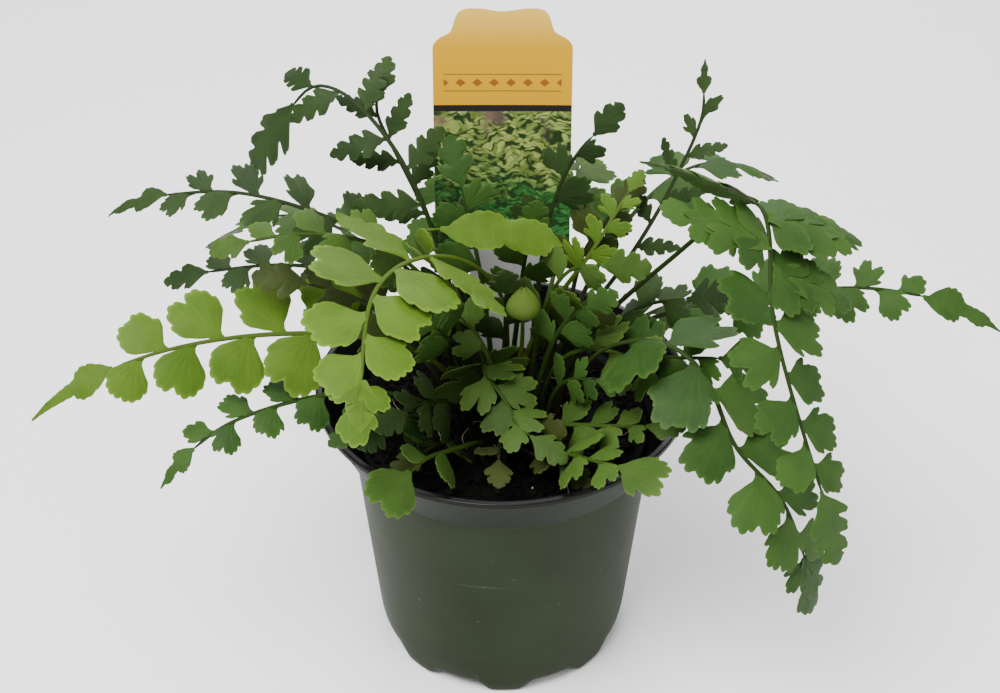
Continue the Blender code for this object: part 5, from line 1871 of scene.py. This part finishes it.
@dataclass
class PlantLabel:
    """The thin plastic label: a stake in the mix and a broad head with a raised middle.

    The foot is where it leaves the mix, and sheet its thickness as a share of the solid's.
    """

    half_width: float = 21.5
    stake_half_width: float = 10.0
    buried: float = 40.0
    head_foot: float = 33.0
    height: float = 110.0
    thickness: float = 0.7
    lean: float = math.radians(13.0)
    foot: tuple[float, float, float] = (0.0, 37.5, MIX_TOP)
    bow: float = 0.35
    sheet: float = 0.8

    def half_outline(self) -> Array:
        """Return (half width, height) points up the label's edge.

        Returns:
            The points, with heights from the mix's top.
        """
        top = self.height
        stake = self.stake_half_width
        head = self.half_width
        low = self.head_foot
        return np.array([
            (1.2, -self.buried), (6.0, -self.buried + 10.0), (stake - 0.4, -self.buried + 22.0),
            (stake, low - 12.0), (stake + 0.8, low - 6.0), (stake + 3.0, low - 3.0),
            (head - 3.5, low - 0.6), (head - 1.2, low - 0.1), (head - 0.1, low + 1.4),
            (head, low + 4.0), (head, top - 11.8), (head - 0.35, top - 10.6),
            (head - 2.2, top - 8.9), (16.2, top - 7.4), (15.4, top - 6.0), (14.8, top - 3.8),
            (14.0, top - 1.7), (12.6, top - 0.5), (10.6, top)])

    def build(self) -> bpy.types.Object:
        """Make the label's object: rows of points between its two edges, bowed a little.

        Returns:
            The finished object.
        """
        outline = self.half_outline()
        step = np.concatenate([[0.0], np.cumsum(np.linalg.norm(np.diff(outline, axis=0), axis=1))])
        s = np.linspace(0.0, step[-1], 150)
        half = np.interp(s, step, outline[:, 0])[:, None]
        up = np.interp(s, step, outline[:, 1])[:, None]
        q = np.linspace(1.0, -1.0, 25)[None, :]
        x = half * q
        dip = 0.9 * smooth(up, self.height - 3.0, self.height) * (1.0 - smooth(np.abs(x), 0.0, 8.0))
        z = up - dip
        y = self.bow * (1.0 - (x / self.half_width) ** 2) * smooth(z, 0.0, 60.0)
        cos, sin = math.cos(self.lean), math.sin(self.lean)
        mid = np.stack([self.foot[0] + x, self.foot[1] + y * cos + z * sin,
                        self.foot[2] - y * sin + z * cos], axis=-1)
        thick = np.full(x.shape, self.thickness * self.sheet)
        shell = blade_shell(mid, thick, x, z + 0.0 * x, 0.0 * x, 0.5)
        piece = Piece("plant_label_fine", [MATERIALS[LABEL.name]])
        piece.add(shell)
        return piece.build("plant_label", "label")


# Finishes of the pot, mix and label

POT = PotFinish("pot_green_plastic", (0.0134, 0.0204, 0.0078), (0.003, 0.003, 0.003))
PEAT = MixFinish("mix_peat", (0.002, 0.0017, 0.0014), (0.010, 0.0075, 0.005))
PERLITE = PlainGrain("mix_pale_grain", (0.40, 0.38, 0.34))
DRY_ROOT = PlainGrain("mix_dry_root", (0.30, 0.26, 0.19))
LABEL = LabelFinish("label_print", (0.50, 0.262, 0.0), (0.60, 0.38, 0.06), (0.012, 0.010, 0.010),
                    (0.30, 0.295, 0.29), 35.1, 78.3)
MATERIALS: dict[str, bpy.types.Material] = {}


# Studio

@dataclass
class Studio:
    """A pale floor that rises behind, three soft lights and the camera at the photo's angle."""

    eye: tuple[float, float, float] = (0.0, -0.38335, 0.38387)
    aim: tuple[float, float, float] = (-0.0007, 0.0, 0.108)
    focal_pixels: float = 1571.0
    frame_width: float = 1000.0
    sensor: float = 36.0

    def build(self) -> None:
        """Place the floor, the lights, the sky and the camera."""
        self.floor()
        self.lamp("key", (-0.35, -0.40, 1.10), 0.7, 30.0)
        self.lamp("fill", (0.85, -0.35, 0.55), 0.9, 5.0)
        self.lamp("back", (0.1, 0.9, 0.9), 0.8, 13.0)
        self.sky()
        self.camera()

    def floor(self) -> None:
        """Lay the pale floor, a sheet that bends up behind as a smooth step."""
        x = np.linspace(-3.0, 3.0, 13)[None, :]
        y = np.linspace(-3.0, 3.5, 90)[:, None]
        z = 1.6 * smooth(y, 1.6, 3.5)
        grid = np.stack(np.broadcast_arrays(x, y, z), axis=-1)
        mesh = bpy.data.meshes.new("floor")
        quads = grid_quads(*grid.shape[:2])[:, ::-1]
        mesh.from_pydata(grid.reshape(-1, 3).tolist(), [], quads.tolist())
        mesh.shade_smooth()
        g = Graph("floor_paper")
        g.surface(g.mix(g.noise(3.0), (0.90, 0.90, 0.90), (0.93, 0.93, 0.93)), 0.9, 0.2)
        mesh.materials.append(g.material)
        floor = bpy.data.objects.new("floor", mesh)
        bpy.context.scene.collection.objects.link(floor)

    def lamp(self, name: str, place: tuple, size: float, power: float) -> None:
        """Hang one square soft light that faces the plant.

        Args:
            name: its name.
            place: where it hangs.
            size: its side.
            power: its power in watts.
        """
        data = bpy.data.lights.new(name, "AREA")
        data.size = size
        data.energy = power
        lamp = bpy.data.objects.new(name, data)
        lamp.location = place
        lamp.rotation_euler = self.facing(place, (0.0, 0.0, 0.1))
        bpy.context.scene.collection.objects.link(lamp)

    @staticmethod
    def facing(place: tuple, target: tuple) -> tuple[float, float, float]:
        """Return the turn that points -Z from place to target with +Y up.

        Args:
            place: where it stands.
            target: what it looks at.

        Returns:
            The turn as Euler angles.
        """
        from_to = np.array(target) - np.array(place)
        flat = math.hypot(from_to[0], from_to[1])
        return (math.atan2(flat, -from_to[2]), 0.0, math.atan2(-from_to[0], from_to[1]))

    def sky(self) -> None:
        """Set an even white sky."""
        world = bpy.data.worlds.new("studio_sky")
        world.use_nodes = True
        back = world.node_tree.nodes["Background"]
        back.inputs["Color"].default_value = (1.0, 1.0, 1.0, 1.0)
        back.inputs["Strength"].default_value = 0.55
        bpy.context.scene.world = world

    def camera(self) -> None:
        """Set the camera at the photo's place, aim and focal length."""
        data = bpy.data.cameras.new("camera")
        data.sensor_width = self.sensor
        data.lens = self.sensor * self.focal_pixels / self.frame_width
        camera = bpy.data.objects.new("camera", data)
        camera.location = self.eye
        camera.rotation_euler = self.facing(self.eye, self.aim)
        bpy.context.scene.collection.objects.link(camera)
        bpy.context.scene.camera = camera


def main() -> None:
    """Make the finishes, then each sub-assembly in turn, then the studio."""
    logging.basicConfig(level=logging.INFO, format="%(message)s")
    for finish in (*LEAVES.values(), *STEMS.values(), SCALES, POT, PEAT, PERLITE, DRY_ROOT, LABEL):
        MATERIALS[finish.name] = finish.material()
    Pot().build()
    PottingMix().build()
    PlantLabel().build()
    for spec in FRONDS:
        if spec.name == "frond_unrolling":
            YoungLeaf(spec).build()
        else:
            FrondPiece(spec, growth=GROWTH.get(spec.name, 1.0)).build()
    Studio().build()


if __name__ == "__main__":
    main()
